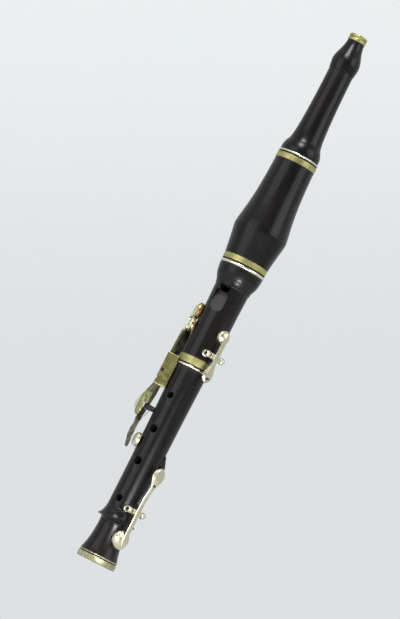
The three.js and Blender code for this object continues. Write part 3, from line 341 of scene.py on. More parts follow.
class Finish(Shading):
    def __init__(self, name, **fixed):  # fixed values go straight on the shader's sockets
        self.material = bpy.data.materials.new(name)
        self.material.use_nodes = True
        super().__init__(self.material.node_tree)
        self.surface = self.tree.nodes["Principled BSDF"]
        for key, value in fixed.items():
            self.surface.inputs[key.replace("_", " ").title().replace("Ior", "IOR")].default_value = value
        self.place = self.node("TexCoord", output="Object")

    def stretched(self, scale, turn=(0, 0, 0)):
        return self.node("Mapping", sockets={"Vector": self.place, "Scale": scale, "Rotation": turn})

    def noise(self, size, detail=4.0, rough=0.55, scale=(1, 1, 1), bend=0.0, turn=(0, 0, 0)):  # size in metres
        return self.node("TexNoise", sockets={
            "Vector": self.stretched(scale, turn), "Scale": 1 / size,
            "Detail": detail, "Roughness": rough, "Distortion": bend,
        })

    def between(self, value, low, high):  # 0 below low, 1 above high
        return self.node("MapRange", {"clamp": True}, {"Value": value, "From Min": low, "From Max": high})

    def height(self):
        return self.node("SeparateXYZ", sockets={"Vector": self.place}, output="Z")

    def mark(self, name):  # a value kept on the faces of a piece, 0 where it has none
        return self.node("Attribute", {"attribute_name": name}, output="Fac")

    def edges(self, low, high):  # 1 on sharp outer edges
        return self.between(self.node("NewGeometry", output="Pointiness"), low, high)

    def bump(self, value, strength, depth):
        made = self.node("Bump", sockets={"Height": value, "Strength": strength, "Distance": depth})
        made.into(self.surface.inputs["Normal"])

    def feed(self, **wires):
        for key, wire in wires.items():
            wire.into(self.surface.inputs[key.replace("_", " ").title()])
        return self.material


# Floor and backdrop

floorSet = {"size": 6.0, "below": 0.0002, "colour": (0.78, 0.82, 0.84, 1), "seen": (0.20, 0.208, 0.212)}


def makeFloor(kit):
    deselectAll()
    bpy.ops.mesh.primitive_plane_add(size=kit["size"], location=(0, 0, -kit["below"]))
    floor = newest("paleFloor")
    finish = Finish("paleFloor", base_color=kit["colour"])
    fromBelow = finish.node("NewGeometry", output="Backfacing")
    speck = finish.noise(0.004, detail=6)
    seen = finish.node("LightPath", output="Is Camera Ray")
    finish.surface.inputs["Emission Strength"].default_value = 1.0
    finish.feed(roughness=0.85 + speck * 0.1, emission_color=finish.mixed(seen, (0.0, 0.0, 0.0), kit["seen"]))
    fromAbove = Wire(finish.tree, finish.surface.outputs[0])
    shown = finish.node("MixShader", sockets={0: fromBelow, 1: fromAbove, 2: finish.node("BsdfTransparent")})
    shown.into(finish.tree.nodes["Material Output"].inputs["Surface"])
    floor.data.materials.append(finish.material)


worldSet = {  # light and tint fall on the object, top and foot are only seen
    "top": (0.835, 0.868, 0.870), "foot": (0.725, 0.752, 0.765), "turnover": (-0.03, 0.12),
    "fibre": 0.035, "weave": 170.0, "tint": (0.96, 0.98, 1.0, 1.0), "light": 0.47,
    "gloss": (0.05, 0.72), "glossFrom": (-0.95, 0.25),  # from the camera's side, and from behind the object
}


def makeWorld(kit):
    world = bpy.context.scene.world or bpy.data.worlds.new("studio")
    bpy.context.scene.world = world
    world.use_nodes = True
    world.node_tree.nodes.clear()
    sky = Shading(world.node_tree)
    way = sky.node("TexCoord", output="Generated")

    def shareAlong(direction, low, high):  # 0 to 1 as a ray turns towards a direction
        along = sky.node("VectorMath", {"operation": "DOT_PRODUCT"}, {0: way, 1: direction}, output="Value")
        return sky.node("MapRange", {"interpolation_type": "SMOOTHSTEP"}, {
            "Value": along, "From Min": low, "From Max": high,
        })

    def glow(colour, strength):
        return sky.node("Background", sockets={"Color": colour, "Strength": strength})

    fibre = sky.node("TexNoise", sockets={"Vector": way, "Scale": kit["weave"], "Detail": 4.0}, output="Color")
    sheet = sky.mixed(shareAlong(viewUp, *kit["turnover"]), kit["foot"], kit["top"])
    sheet = sky.mixed(kit["fibre"], sheet, fibre, "OVERLAY")
    near, far = kit["gloss"]
    behind = shareAlong(-viewBack, *kit["glossFrom"])
    shine = sky.node("MapRange", sockets={"Value": behind, "To Min": near, "To Max": far})
    glossy = sky.node("LightPath", output="Is Glossy Ray")
    camera = sky.node("LightPath", output="Is Camera Ray")
    lit = sky.node("MixShader", sockets={0: glossy, 1: glow(kit["tint"], kit["light"]), 2: glow(kit["tint"], shine)})
    shown = sky.node("MixShader", sockets={0: camera, 1: lit, 2: glow(sheet, 1.0)})
    shown.into(sky.tree.nodes.new("ShaderNodeOutputWorld").inputs["Surface"])


makeFloor(floorSet)
makeWorld(worldSet)
print("floor and backdrop made")


# Finishes

ebonySet = {
    "dark": (0.0038, 0.0035, 0.0036), "line": (0.0088, 0.0078, 0.0076), "brown": (0.0145, 0.0085, 0.0062),
    "worn": (0.034, 0.029, 0.026), "cut": (0.033, 0.032, 0.031),
}
softSet = {  # the two colours of each, laid in patches
    "pearBlock": ((0.085, 0.045, 0.025), (0.045, 0.024, 0.014)),
    "kidLeather": ((0.26, 0.125, 0.05), (0.14, 0.062, 0.026)),
    "waxedThread": ((0.24, 0.16, 0.085), (0.50, 0.38, 0.23)),
    "drySponge": ((0.52, 0.38, 0.16), (0.24, 0.15, 0.055)),
}


def ebonyFinish(kit):
    finish = Finish("ebony", coat_roughness=0.12, specular_ior_level=0.18)
    fibre = finish.noise(0.0011, detail=7, scale=(1, 1, 0.035), bend=0.4)
    pore = finish.noise(0.00045, detail=3, scale=(1, 1, 0.05))
    patch = finish.noise(0.03, detail=3, scale=(1, 1, 0.4))
    smear = finish.noise(0.012, detail=5, scale=(1, 1, 0.5))
    lines = finish.between(fibre, 0.46, 0.7)
    cut = finish.mark("freshCut")
    dark = finish.mixed(lines, kit["dark"], kit["line"])
    colour = finish.mixed(finish.between(patch, 0.50, 0.68) * 0.5, dark, kit["brown"])
    worn = finish.edges(0.515, 0.56)
    colour = finish.mixed(worn * 0.6, colour, kit["worn"])
    colour = finish.mixed(cut, colour, kit["cut"])
    finish.bump(fibre * 0.6 + pore * 0.4, 0.10, 0.00006)
    return finish.feed(
        base_color=colour,
        roughness=0.24 + smear * 0.14 + worn * 0.12 + cut * 0.2,
        coat_weight=0.13 - worn * 0.08 - cut * 0.05,
    )


def pearFinish():
    finish = Finish("pearBlock", specular_ior_level=0.3)
    rings = finish.noise(0.0025, detail=4, scale=(1, 0.3, 0.04), bend=0.6)
    colour = finish.mixed(finish.between(rings, 0.4, 0.62), *softSet["pearBlock"])
    finish.bump(rings, 0.15, 0.0001)
    return finish.feed(base_color=colour, roughness=0.55 + rings * 0.15)


# gilt tints a band round each cup wall; the near-black tint is painted shade in grooves, band ends and round cup
# walls, and soil on the saddle's chipped edge
markTints = {"gilt": (0.40, 0.30, 0.12), "soilAndShade": (0.020, 0.016, 0.010)}
stretchEdge = 0.001  # half the width of a stretch's soft end, in metres


def metalFinish(name, bright, dull, stain, rough, scratch=0.07, patina=0.5, tarnishAndShade=(), worn=None):
    finish = Finish(name)
    cloud = finish.noise(0.0045, detail=5, rough=0.62)
    fleck = finish.noise(0.0012, detail=6, rough=0.7, bend=0.8)
    lathe = finish.noise(0.0016, detail=5, scale=(0.12, 0.12, 9))
    lines = finish.noise(0.0022, detail=6, scale=(14, 0.5, 1.1), turn=(0.5, 0.9, 0.3))
    tarnish = finish.between(cloud, 0.40, 0.66)
    spots = finish.between(fleck, 0.58, 0.70)
    colour = finish.mixed(tarnish * patina, bright, dull)
    colour = finish.mixed(spots * patina, colour, stain)
    rubbed = finish.edges(0.55, 0.65)
    for foot, top, tint in tarnishAndShade:  # stretches of a key that fingers don't rub bright, tinted dark both as tarnish and as painted shade on the levers' shaded sides
        height = finish.height()
        above = finish.between(height, foot - stretchEdge, foot + stretchEdge)
        stretch = above - finish.between(height, top - stretchEdge, top + stretchEdge)
        held = stretch * (1 - rubbed * 0.75) * (0.80 + tarnish * 0.2)
        colour = finish.mixed(held, colour, tint)
    colour = finish.mixed(rubbed * 0.35, colour, bright)
    colour = finish.mixed(finish.mark("gilt"), colour, markTints["gilt"])
    colour = finish.mixed(finish.mark("handled"), colour, worn or bright)
    dirt = finish.edges(0.47, 0.40)
    # painted shade in grooves, at band ends and round cup walls, and dark soil on the saddle's chipped edge
    soilAndShade = finish.mark("soilAndShade")
    colour = finish.mixed(dirt * 0.75, colour, stain)
    colour = finish.mixed(soilAndShade, colour, markTints["soilAndShade"])
    finish.bump(lathe * 0.5 + lines * 0.5, scratch, 0.00004)
    return finish.feed(
        base_color=colour,
        metallic=1 - soilAndShade * 0.8,
        roughness=rough + tarnish * 0.10 + spots * 0.06 + lines * 0.04 + soilAndShade * 0.3,
    )


def leatherFinish():
    finish = Finish("kidLeather", specular_ior_level=0.3)
    grain = finish.node("TexVoronoi", {"feature": "DISTANCE_TO_EDGE"}, {"Vector": finish.place, "Scale": 2600.0})
    patch = finish.noise(0.002, detail=4)
    colour = finish.mixed(finish.between(patch, 0.35, 0.7), *softSet["kidLeather"])
    finish.bump(finish.between(grain, 0.0, 0.15), 0.3, 0.00006)
    return finish.feed(base_color=colour, roughness=0.55 + patch * 0.2)


def threadFinish():
    finish = Finish("waxedThread", specular_ior_level=0.35)
    wind = finish.node("TexWave", {"wave_type": "BANDS", "bands_direction": "Z"}, {
        "Vector": finish.place, "Scale": 420.0, "Distortion": 0.6, "Detail": 2.0, "Detail Scale": 3.0,
    })
    fray = finish.noise(0.0006, detail=4)
    colour = finish.mixed(wind, *softSet["waxedThread"])
    finish.bump(wind * 0.8 + fray * 0.2, 0.5, 0.0001)
    return finish.feed(base_color=colour, roughness=0.7 + fray * 0.2)


def spongeFinish():
    finish = Finish("drySponge", specular_ior_level=0.2)
    cell = finish.node("TexVoronoi", {"feature": "F1"}, {"Vector": finish.place, "Scale": 620.0})
    patch = finish.noise(0.006, detail=3)
    deep = finish.between(cell, 0.15, 0.6)
    colour = finish.mixed(deep, *softSet["drySponge"])
    finish.bump(1 - deep, 0.8, 0.0006)
    return finish.feed(base_color=colour, roughness=0.85 + patch * 0.1)


metalSet = {
    "agedBrass": {
        "bright": (0.46, 0.43, 0.19), "dull": (0.31, 0.285, 0.105), "stain": (0.10, 0.08, 0.035),
        "rough": 0.38, "patina": 0.8,
    },
    "footBrass": {
        "bright": (0.52, 0.49, 0.32), "dull": (0.26, 0.235, 0.14), "stain": (0.10, 0.08, 0.045),
        "rough": 0.34, "patina": 0.8,
    },
    "saddleBrass": {
        "bright": (0.21, 0.20, 0.078), "dull": (0.092, 0.085, 0.031), "stain": (0.035, 0.03, 0.016),
        "rough": 0.46, "scratch": 0.3, "patina": 0.95, "worn": (0.56, 0.54, 0.31),
    },
    "brightRing": {
        "bright": (0.84, 0.82, 0.66), "dull": (0.66, 0.62, 0.42), "stain": (0.27, 0.23, 0.13),
        "rough": 0.20, "scratch": 0.03, "patina": 0.35,
    },
    "nickelSilver": {
        "bright": (0.66, 0.63, 0.47), "dull": (0.47, 0.44, 0.29), "stain": (0.24, 0.20, 0.11),
        "rough": 0.27, "scratch": 0.02, "patina": 0.5,
    },
    "spadeNickel": {  # each stretch of tarnish and painted shade has its foot and top in metres, and its tint
        "bright": (0.76, 0.75, 0.57), "dull": (0.50, 0.48, 0.30), "stain": (0.20, 0.18, 0.09),
        "rough": 0.28, "scratch": 0.02, "patina": 0.5,
        "tarnishAndShade": [(-0.01, 0.1185, (0.27, 0.26, 0.115)), (0.1185, 0.1665, (0.085, 0.073, 0.030))],
    },
    # the long key's lever is tinted near-black, as tarnish and as painted shade on its shaded side
    "leafNickel": {
        "bright": (0.66, 0.64, 0.46), "dull": (0.40, 0.375, 0.23), "stain": (0.16, 0.135, 0.07),
        "rough": 0.30, "scratch": 0.02, "patina": 0.7, "tarnishAndShade": [(-0.01, 0.177, (0.042, 0.034, 0.015))],
    },
    "darkSteel": {
        "bright": (0.055, 0.05, 0.045), "dull": (0.035, 0.03, 0.026), "stain": (0.08, 0.045, 0.025),
        "rough": 0.40, "patina": 0.6,
    },
    "springSteel": {
        "bright": (0.26, 0.26, 0.27), "dull": (0.14, 0.13, 0.13), "stain": (0.10, 0.06, 0.035),
        "rough": 0.34, "patina": 0.5,
    },
}

ebony = ebonyFinish(ebonySet)
pearWood = pearFinish()
metals = {metalName: metalFinish(metalName, **metalKit) for metalName, metalKit in metalSet.items()}
kidLeather = leatherFinish()
waxedThread = threadFinish()
drySponge = spongeFinish()
print("finishes mixed")


# Foot ring: a flat brass band with a thin bead above it

footRingSet = {
    "outline": [
        [9.2, 0.0], [13.1, 0.0], [13.7, 0.35], [13.9, 0.9], [13.9, 3.75], [13.7, 4.0], [13.2, 4.1], [13.2, 4.7],
        [13.65, 4.8], [13.8, 5.15], [13.65, 5.5], [13.4, 5.6], [12.6, 5.6], [12.6, 1.2], [9.2, 1.2],
    ],
    "ease": 0.12, "groove": (4.02, 4.74),  # painted shade darkens the groove below the bead
}
footRing = turned("footRing", footRingSet["outline"], ease=footRingSet["ease"])
shadeSmooth(footRing, 30)
handOver(footRing, "lower_joint", "aged_brass", metals["footBrass"], "foot_ring")
grooveFoot, grooveTop = footRingSet["groove"]
# painted shade in the groove below the bead
markFaces(footRing, "soilAndShade", lambda place, normal: grooveFoot < place.z < grooveTop)


# Places of the keys, for the holes in the wood and for the key work further down. Lengths are in mm

hingeSet = {  # pivot is the rise of the pivot's line, spread half the way between two posts, tube the wood's radius
    "low_key": {
        "posts": ("low_key_left_post", "low_key_right_post"), "body": "lower_joint",
        "turn": 74, "pivot": 13.5, "spread": 6.8, "height": 41.8, "tube": 10.35, "upright": False,
    },
    "upper_key": {
        "posts": ("upper_key_left_post", "upper_key_right_post"), "body": "head",
        "turn": 73.5, "pivot": 14.4, "spread": 7.4, "height": 158.2, "tube": 11.8, "upright": False,
    },
    "cross_key": {
        "posts": ("cross_key_lower_post", "cross_key_upper_post"), "body": "lower_joint",
        "turn": -112, "pivot": 13.6, "spread": 5.6, "height": 86.4, "tube": 10.48, "upright": True,
    },
}
cupSet = {  # rim is the rise of a cup's open side, edge the height of its wall, seat a flat cut in the wood below
    "low_key": {
        "wood": "lower_joint", "tube": 10.35, "seat": True,
        "turn": 74, "height": 21.2, "radius": 6.65, "dome": 2.9, "rim": 10.75, "edge": 1.45,
    },
    "upper_key": {
        "wood": "head", "tube": 11.8, "seat": True,
        "turn": 73.5, "height": 173.1, "radius": 4.65, "dome": 2.7, "rim": 12.2, "edge": 1.45,
    },
    "cross_key": {
        "wood": "lower_joint", "tube": 10.48, "seat": True,
        "turn": -52, "height": 86.4, "radius": 5.0, "dome": 2.3, "rim": 10.85, "edge": 1.48,
    },
    "saddle_key": {
        "wood": "head", "tube": 11.8, "seat": False,
        "turn": -58, "height": 172.4, "radius": 4.75, "dome": 2.1, "rim": 12.55, "edge": 1.7,
    },
    "long_key": {
        "wood": "head", "tube": 11.8, "seat": False,
        "turn": -72, "height": 183.0, "radius": 5.6, "dome": 2.1, "rim": 12.55, "edge": 1.7,
    },
}
drillSet = {  # deep is a rise for a tone hole and a depth below the surface for a post's hole
    "mouthSteps": 5, "mouthStart": 0.5,
    "cup": {"slack": 0.5, "sunk": 0.35, "bore": 0.45, "deep": 2.0, "above": 6.0},  # bore is a share of the radius
    "post": {"plate": 2.62, "sunk": 0.3, "shank": 1.35, "deep": 2.5, "above": 8.0},
}


def postPlace(hinge, side):  # the turn and height of a post, to one side of its key or below and above it
    if hinge["upright"]:
        return hinge["turn"], hinge["height"] + side * hinge["spread"]
    return hinge["turn"] + side * math.degrees(math.atan2(hinge["spread"], hinge["pivot"])), hinge["height"]


def mouthedDrill(turn, height, radius, mouth, surface):  # its rounded mouth meets the wood's surface
    lip = mouth - radius
    steps = drillSet["mouthSteps"]
    shank = [[0.0, drillSet["mouthStart"]], [radius, drillSet["mouthStart"]]]
    for step in range(steps + 1):
        angle = step * math.pi / 2 / steps
        shank.append([radius + lip * (1 - math.cos(angle)), surface - lip * (1 - math.sin(angle))])
    top = surface + drillSet["cup"]["above"]
    shank += [[mouth + lip, surface + lip * 0.6], [mouth + lip, top], [0.0, top]]
    return standAt(turned("mouthedDrill", shank, sides=48, closed=False), turn, 0, height)


def rod(name, radius, low, high, sides=64):  # a plain cylinder along Z
    return turned(name, [[0.0, low], [radius, low], [radius, high], [0.0, high]], sides=sides, closed=False)


def drillOut(joint, radius, foot, top, place):
    carve(joint, standAt(rod("flatDrill", radius, foot, top), place[0], 0, place[1]))


def drillForKeys(joint, body):  # tone holes and flat seats under the cups, then seats and holes for the posts
    under, foot = drillSet["cup"], drillSet["post"]
    for cup in cupSet.values():
        if cup["wood"] == body:
            place, top = (cup["turn"], cup["height"]), cup["tube"] + under["above"]
            if cup["seat"]:
                drillOut(joint, cup["radius"] + under["slack"], cup["tube"] - under["sunk"], top, place)
            drillOut(joint, cup["radius"] * under["bore"], under["deep"], top, place)
    for hinge in hingeSet.values():
        if hinge["body"] == body:
            for side in (-1, 1):
                place, tube = postPlace(hinge, side), hinge["tube"]
                drillOut(joint, foot["plate"], tube - foot["sunk"], tube + foot["above"], place)
                drillOut(joint, foot["shank"], tube - foot["deep"], tube + foot["above"], place)


def blockCutter(name, low, high, turn):
    return standAt(sizedBlock(name, low, high), turn, 0, 0, lay=False)


# Lower joint: bell, moulding, taper and tenon, then its holes and the thumb rest

lowerJointSet = {
    "floor": [[4.2, 1.35], [12.45, 1.35], [12.45, 5.75]],
    "bell": [[13.55, 5.8], [12.62, 8.6], [11.72, 12.2], [11.05, 16.2], [10.62, 20.5], [10.4, 24.5], [10.35, 28.4]],
    "neck": [[10.45, 29.6], [10.8, 30.5], [11.6, 30.9]],
    "moulding": [
        [13.25, 31.0], [13.62, 31.2], [13.62, 31.55], [13.1, 32.0], [12.15, 33.3], [11.35, 35.0], [10.85, 36.9],
    ],
    "groove": [[10.62, 37.6], [10.42, 37.8], [10.6, 38.1], [10.72, 38.5], [10.62, 39.0], [10.4, 39.4]],
    "body": [[10.35, 42.0], [10.35, 72.0], [10.42, 82.0], [10.6, 100.0], [10.9, 122.0], [11.3, 144.6]],
    "tenon": [[8.1, 144.6], [8.1, 165.6], [5.6, 165.6]],
    "runs": [("floor", 0), ("bell", 6), ("neck", 3), ("moulding", 4), ("groove", 3), ("body", 7), ("tenon", 0)],
    "holes": {  # by turn: height, radius, radius of the mouth and rise of the wood there
        0: [(122.6, 2.2, 2.75, 10.9), (97.5, 2.7, 3.25, 10.56), (73.8, 2.8, 3.3, 10.36), (46.0, 2.4, 2.85, 10.35)],
        180: [(137.0, 2.3, 2.7, 11.15), (60.8, 2.3, 2.7, 10.35)],
    },
}
thumbRestSet = {
    "turn": 126, "root": 6.2, "foot": 63.8, "ledge": 66.0, "crest": 76.5, "top": 84.8, "rise": 13.6, "width": 8.5,
    "block": 4.5, "taper": 0.86, "round": 1.1,
}


def makeThumbRest(kit):  # a wedge of wood with a soft back that runs out into the tube
    half, shoulder = kit["width"] / 2, kit["root"] + kit["block"]
    rest = sizedBlock("thumbRestBlock", [kit["root"], -half, kit["foot"]], [shoulder, half, kit["top"]])
    selectNothing()
    for face in rest.data.polygons:
        face.select = face.normal.x > 0.9
    bpy.ops.object.mode_set(mode="EDIT")
    bpy.ops.mesh.extrude_region_move(TRANSFORM_OT_translate={"value": ((kit["rise"] - shoulder) * mm, 0, 0)})
    shrink = (kit["crest"] - kit["ledge"]) / (kit["top"] - kit["foot"])
    bpy.ops.transform.resize(value=(1, kit["taper"], shrink))
    lift = (kit["ledge"] + kit["crest"] - kit["foot"] - kit["top"]) / 2
    bpy.ops.transform.translate(value=(0, 0, lift * mm))
    bpy.ops.object.mode_set(mode="OBJECT")
    width, limit = kit["round"] * mm, math.radians(25)
    modify(rest, "BEVEL", width=width, segments=5, limit_method="ANGLE", angle_limit=limit)
    return standAt(rest, kit["turn"], 0, 0, lay=False)


def makeLowerJoint(kit):
    joint = turned("lowerJoint", outlineOf(kit), ease=0.0)
    drills = [mouthedDrill(turn, *hole) for turn, holes in kit["holes"].items() for hole in holes]
    unite(joint, makeThumbRest(thumbRestSet))
    carve(joint, *drills)
    drillForKeys(joint, "lower_joint")
    shadeSmooth(joint, 32)
    return joint


lowerJoint = makeLowerJoint(lowerJointSet)
handOver(lowerJoint, "lower_joint", "dark_wood", ebony, "lower_joint")
print("lower joint turned and drilled")


# Head joint: straight body, window with its lip, bulb and tenon

headJointSet = {
    "socket": [[8.98, 147.2], [10.95, 147.2], [10.95, 152.75], [11.8, 152.75]],
    "body": [[11.8, 153.2], [11.8, 170.0], [11.8, 186.4], [11.95, 196.0], [12.15, 203.5]],
    "bead": [[12.16, 205.3], [12.5, 205.8], [12.72, 206.25], [12.66, 206.6]],
    "bulb": [[12.72, 207.1], [13.25, 209.0], [14.3, 211.3], [15.05, 213.8], [15.5, 216.6], [15.72, 218.6]],
    "shoulder": [
        [15.75, 219.4], [15.6, 219.8], [9.8, 219.8], [9.8, 239.0], [5.75, 239.0], [5.75, 166.6], [8.98, 166.6],
    ],
    "runs": [("socket", 0), ("body", 5), ("bead", 3), ("bulb", 5), ("shoulder", 0)],
    "window": {"turn": 5, "low": 201.6, "high": 205.7, "width": 8.0, "deep": 2.9, "past": 24.0},
    "lip": {
        "edge": 6.15, "foot": 186.4, "sides": (-5.7, 4.7), "rise": 11.8, "runOut": 4.0, "past": 30.0, "lap": 0.1,
        "fresh": (183.0, 202.0), "facing": 0.995,  # where the cut wood is paler, and how squarely its faces lie
    },
    "windway": {"width": 7.4, "floor": 5.3, "height": 1.1, "deep": 2.6, "lap": 0.15, "end": 241.0},
}


def lipCutter(kit, window):  # a block whose inner face leans from the tube's surface to the lip's edge
    low = [0.0, kit["sides"][0], kit["foot"] - kit["runOut"]]
    high = [kit["past"], kit["sides"][1], window["low"] + kit["lap"]]
    block = sizedBlock("lipCutter", low, high)
    slope = (kit["rise"] - kit["edge"]) / (window["low"] - kit["foot"])
    selectNothing()
    for height, rise in ((low[2], kit["rise"] + slope * kit["runOut"]), (high[2], kit["edge"])):
        for vertex in block.data.vertices:
            vertex.select = vertex.co.x < mm and abs(vertex.co.z - height * mm) < 0.01 * mm
        bpy.ops.object.mode_set(mode="EDIT")
        bpy.ops.mesh.select_mode(type="VERT")
        bpy.ops.transform.translate(value=(rise * mm, 0, 0))
        bpy.ops.mesh.select_all(action="DESELECT")
        bpy.ops.object.mode_set(mode="OBJECT")
    return standAt(block, window["turn"], 0, 0, lay=False)


def makeHeadJoint(kit):
    joint = turned("headJoint", outlineOf(kit), ease=0.0)
    window, windway = kit["window"], kit["windway"]
    half = window["width"] / 2
    low, high = [window["deep"], -half, window["low"]], [window["past"], half, window["high"]]
    carve(joint, blockCutter("windowCutter", low, high, window["turn"]))
    carve(joint, lipCutter(kit["lip"], window))
    half, roof = windway["width"] / 2, windway["floor"] + windway["height"]
    low, high = [windway["deep"], -half, window["high"] - windway["lap"]], [roof, half, windway["end"]]
    carve(joint, blockCutter("windwayCutter", low, high, window["turn"]))
    drillForKeys(joint, "head")
    shadeSmooth(joint, 32)
    return joint


def markLip(joint, kit, window):
    lean = math.atan2(kit["rise"] - kit["edge"], window["low"] - kit["foot"])
    square = radialWay(window["turn"]) * math.cos(lean) + Vector(axisZ) * math.sin(lean)
    foot, top = kit["fresh"]
    markFaces(joint, "freshCut", lambda place, normal: normal.dot(square) > kit["facing"] and foot < place.z < top)


headJoint = makeHeadJoint(headJointSet)
markLip(headJoint, headJointSet["lip"], headJointSet["window"])
handOver(headJoint, "head", "dark_wood", ebony, "head_joint")
print("head joint turned, window and lip cut")


# Windway block: a plug with a flat on its front

blockSet = {
    "radius": 5.6, "foot": 205.7, "top": 238.0, "round": 0.3, "flat": 5.3, "turn": 5,
    "cutter": (12.0, 8.0, 2.0),  # reach of the flat's cutter: out, to each side and past the ends
}


def makeBlock(kit):
    radius, foot, top, ease = kit["radius"], kit["foot"], kit["top"], kit["round"]
    side = [[radius - ease, foot], [radius, foot + ease], [radius, top - ease], [radius - ease, top]]
    plug = turned("windwayBlock", [[0.0, foot], *side, [0.0, top]], sides=96, closed=False)
    out, across, past = kit["cutter"]
    low, high = [kit["flat"], -across, foot - past], [out, across, top + past]
    carve(plug, blockCutter("flatCutter", low, high, kit["turn"]))
    shadeSmooth(plug, 32)
    return plug


windwayBlock = makeBlock(blockSet)
handOver(windwayBlock, "head", "pale_wood", pearWood, "windway_block")


# Windcap: a pear-shaped barrel of dark wood

windcapSet = {
    "foot": [[10.7, 222.9], [14.85, 222.9], [14.85, 227.15], [16.0, 227.15]],
    "flare": [
        [16.05, 227.4], [16.5, 230.4], [17.25, 236.0], [18.1, 241.4],
        [18.75, 245.2], [19.08, 247.4], [19.12, 248.6], [18.95, 250.2],
    ],
    "fall": [
        [18.6, 252.8], [17.85, 257.4], [17.0, 262.8], [16.15, 269.2],
        [15.4, 277.0], [14.85, 286.0], [14.5, 294.0], [14.3, 300.1],
    ],
    "top": [
        [14.3, 300.35], [13.45, 300.35], [13.45, 304.6], [8.0, 304.6],
        [8.0, 290.5], [11.3, 290.5], [11.3, 240.0], [10.7, 240.0],
    ],
    "runs": [("foot", 0), ("flare", 6), ("fall", 6), ("top", 0)],
}
windcapBarrel = turned("windcapBarrel", outlineOf(windcapSet), sides=160, ease=0.0)
shadeSmooth(windcapBarrel, 32)
handOver(windcapBarrel, "windcap", "dark_wood", ebony, "windcap_barrel")


# Mouthpiece: domed foot, waisted stem, a scribed line, a knob and a short neck for the tip ring

mouthpieceSet = {
    "tenon": [[3.0, 291.5], [7.1, 291.5], [7.1, 307.1], [13.75, 307.1]],
    "foot": [
        [13.95, 307.35], [14.0, 309.2], [13.9, 310.6], [13.45, 312.6], [12.75, 314.4], [11.95, 316.0], [11.35, 317.6],
    ],
    "stem": [
        [11.0, 319.4], [10.5, 322.8], [10.05, 328.0], [9.55, 336.5], [9.2, 346.5], [8.95, 357.0], [8.88, 364.8],
    ],
    "line": [[8.88, 371.6], [8.7, 371.8], [8.72, 372.15], [9.05, 372.25]],
    "knob": [
        [9.18, 372.6], [9.55, 375.2], [9.88, 377.6], [9.95, 379.2], [9.75, 381.0],
        [9.2, 383.3], [8.2, 386.2], [7.2, 389.2], [6.45, 392.3], [6.05, 395.0],
    ],
    "end": [[6.0, 395.15], [4.95, 395.15], [4.95, 399.95], [3.0, 399.95]],
    "runs": [("tenon", 0), ("foot", 6), ("stem", 5), ("line", 0), ("knob", 6), ("end", 0)],
}
mouthpiece = turned("mouthpiece", outlineOf(mouthpieceSet), ease=0.0)
shadeSmooth(mouthpiece, 32)
handOver(mouthpiece, "mouthpiece", "dark_wood", ebony, "mouthpiece")
print("windcap and mouthpiece turned")


# Rings and ferrules, each seated where the frame has it

ringKinds = {  # edge is the painted shade line at each end of a band
    "bead": {"slot": "bright_ring", "metal": "brightRing", "edge": 0.0},
    "band": {"slot": "aged_brass", "metal": "agedBrass", "round": 0.15, "necks": (0.0, 0.0), "edge": 0.16},
}
ringSet = {  # necks are the sunk lines below and above a bead, darkened with painted shade
    "lowerJointRing": {
        "kind": "bead", "node": "lower_joint_ring", "body": "lower_joint",
        "inner": 8.25, "outer": 12.0, "round": 0.8, "necks": (0.0, 0.45),
    },
    "headShoulderRing": {
        "kind": "bead", "node": "head_shoulder_ring", "body": "head",
        "inner": 9.95, "outer": 16.2, "round": 1.0, "necks": (0.0, 0.55),
    },
    "mouthpieceRing": {
        "kind": "bead", "node": "mouthpiece_ring", "body": "mouthpiece",
        "inner": 7.25, "outer": 14.7, "round": 0.75, "necks": (0.55, 0.0),
    },
    "headSocketFerrule": {
        "kind": "band", "node": "head_socket_ferrule", "body": "head", "inner": 11.1, "outer": 12.0,
    },
    "windcapLowerFerrule": {
        "kind": "band", "node": "windcap_lower_ferrule", "body": "windcap", "inner": 15.0, "outer": 15.9,
    },
    "windcapUpperFerrule": {
        "kind": "band", "node": "windcap_upper_ferrule", "body": "windcap", "inner": 13.6, "outer": 14.5,
    },
}
neckDepth = 0.15  # how far a neck lies inside the bead's rounding


def makeRing(name, kit):
    low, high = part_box(kit["node"])
    foot, top = low[2] / mm, high[2] / mm
    inner, rounding, edge = kit["inner"], kit["round"], kit["edge"]
    steps, shoulder = 6, kit["outer"] - rounding
    angles = [step / steps * math.pi / 2 for step in range(steps + 1)]
    corner = [(math.sin(angle), 1 - math.cos(angle)) for angle in angles]
    beadFoot, beadTop = foot + kit["necks"][0], top - kit["necks"][1]
    below = [[shoulder + across * rounding, beadFoot + up * rounding] for across, up in corner]
    above = [[shoulder + across * rounding, beadTop - up * rounding] for across, up in reversed(corner)]
    sunk = shoulder - neckDepth
    outline = [[inner, foot]]
    if kit["necks"][0]:
        outline += [[sunk, foot], [sunk, beadFoot]]
    outline += below + above
    if kit["necks"][1]:
        outline += [[sunk, beadTop], [sunk, top]]
    ring = turned(name, outline + [[inner, top]], ease=0.0)
    shadeSmooth(ring, 40)
    handOver(ring, kit["body"], kit["slot"], metals[kit["metal"]], kit["node"])
    # painted shade on the necks and on the ends of each band
    markFaces(ring, "soilAndShade", lambda place, normal: not beadFoot + edge < place.z < beadTop - edge)


for ringName, ringKit in ringSet.items():
    makeRing(ringName, {**ringKinds[ringKit["kind"]], **ringKit})

tipRingSet = {
    "outline": [
        [5.1, 395.3], [6.1, 395.3], [6.32, 395.5], [6.4, 395.9], [6.4, 397.1],
        [6.2, 397.45], [5.85, 397.62], [5.85, 397.8], [6.2, 397.95], [6.38, 398.25],
        [6.4, 399.1], [6.25, 399.65], [5.85, 400.0], [5.5, 400.1], [5.1, 400.1],
    ],
    "ease": 0.08,
}
tipRing = turned("mouthpieceTipRing", tipRingSet["outline"], ease=tipRingSet["ease"])
shadeSmooth(tipRing, 40)
handOver(tipRing, "mouthpiece", "bright_ring", metals["agedBrass"], "mouthpiece_tip_ring")
print("rings turned")


# Thread lappings on the tenons, wound in fine turns

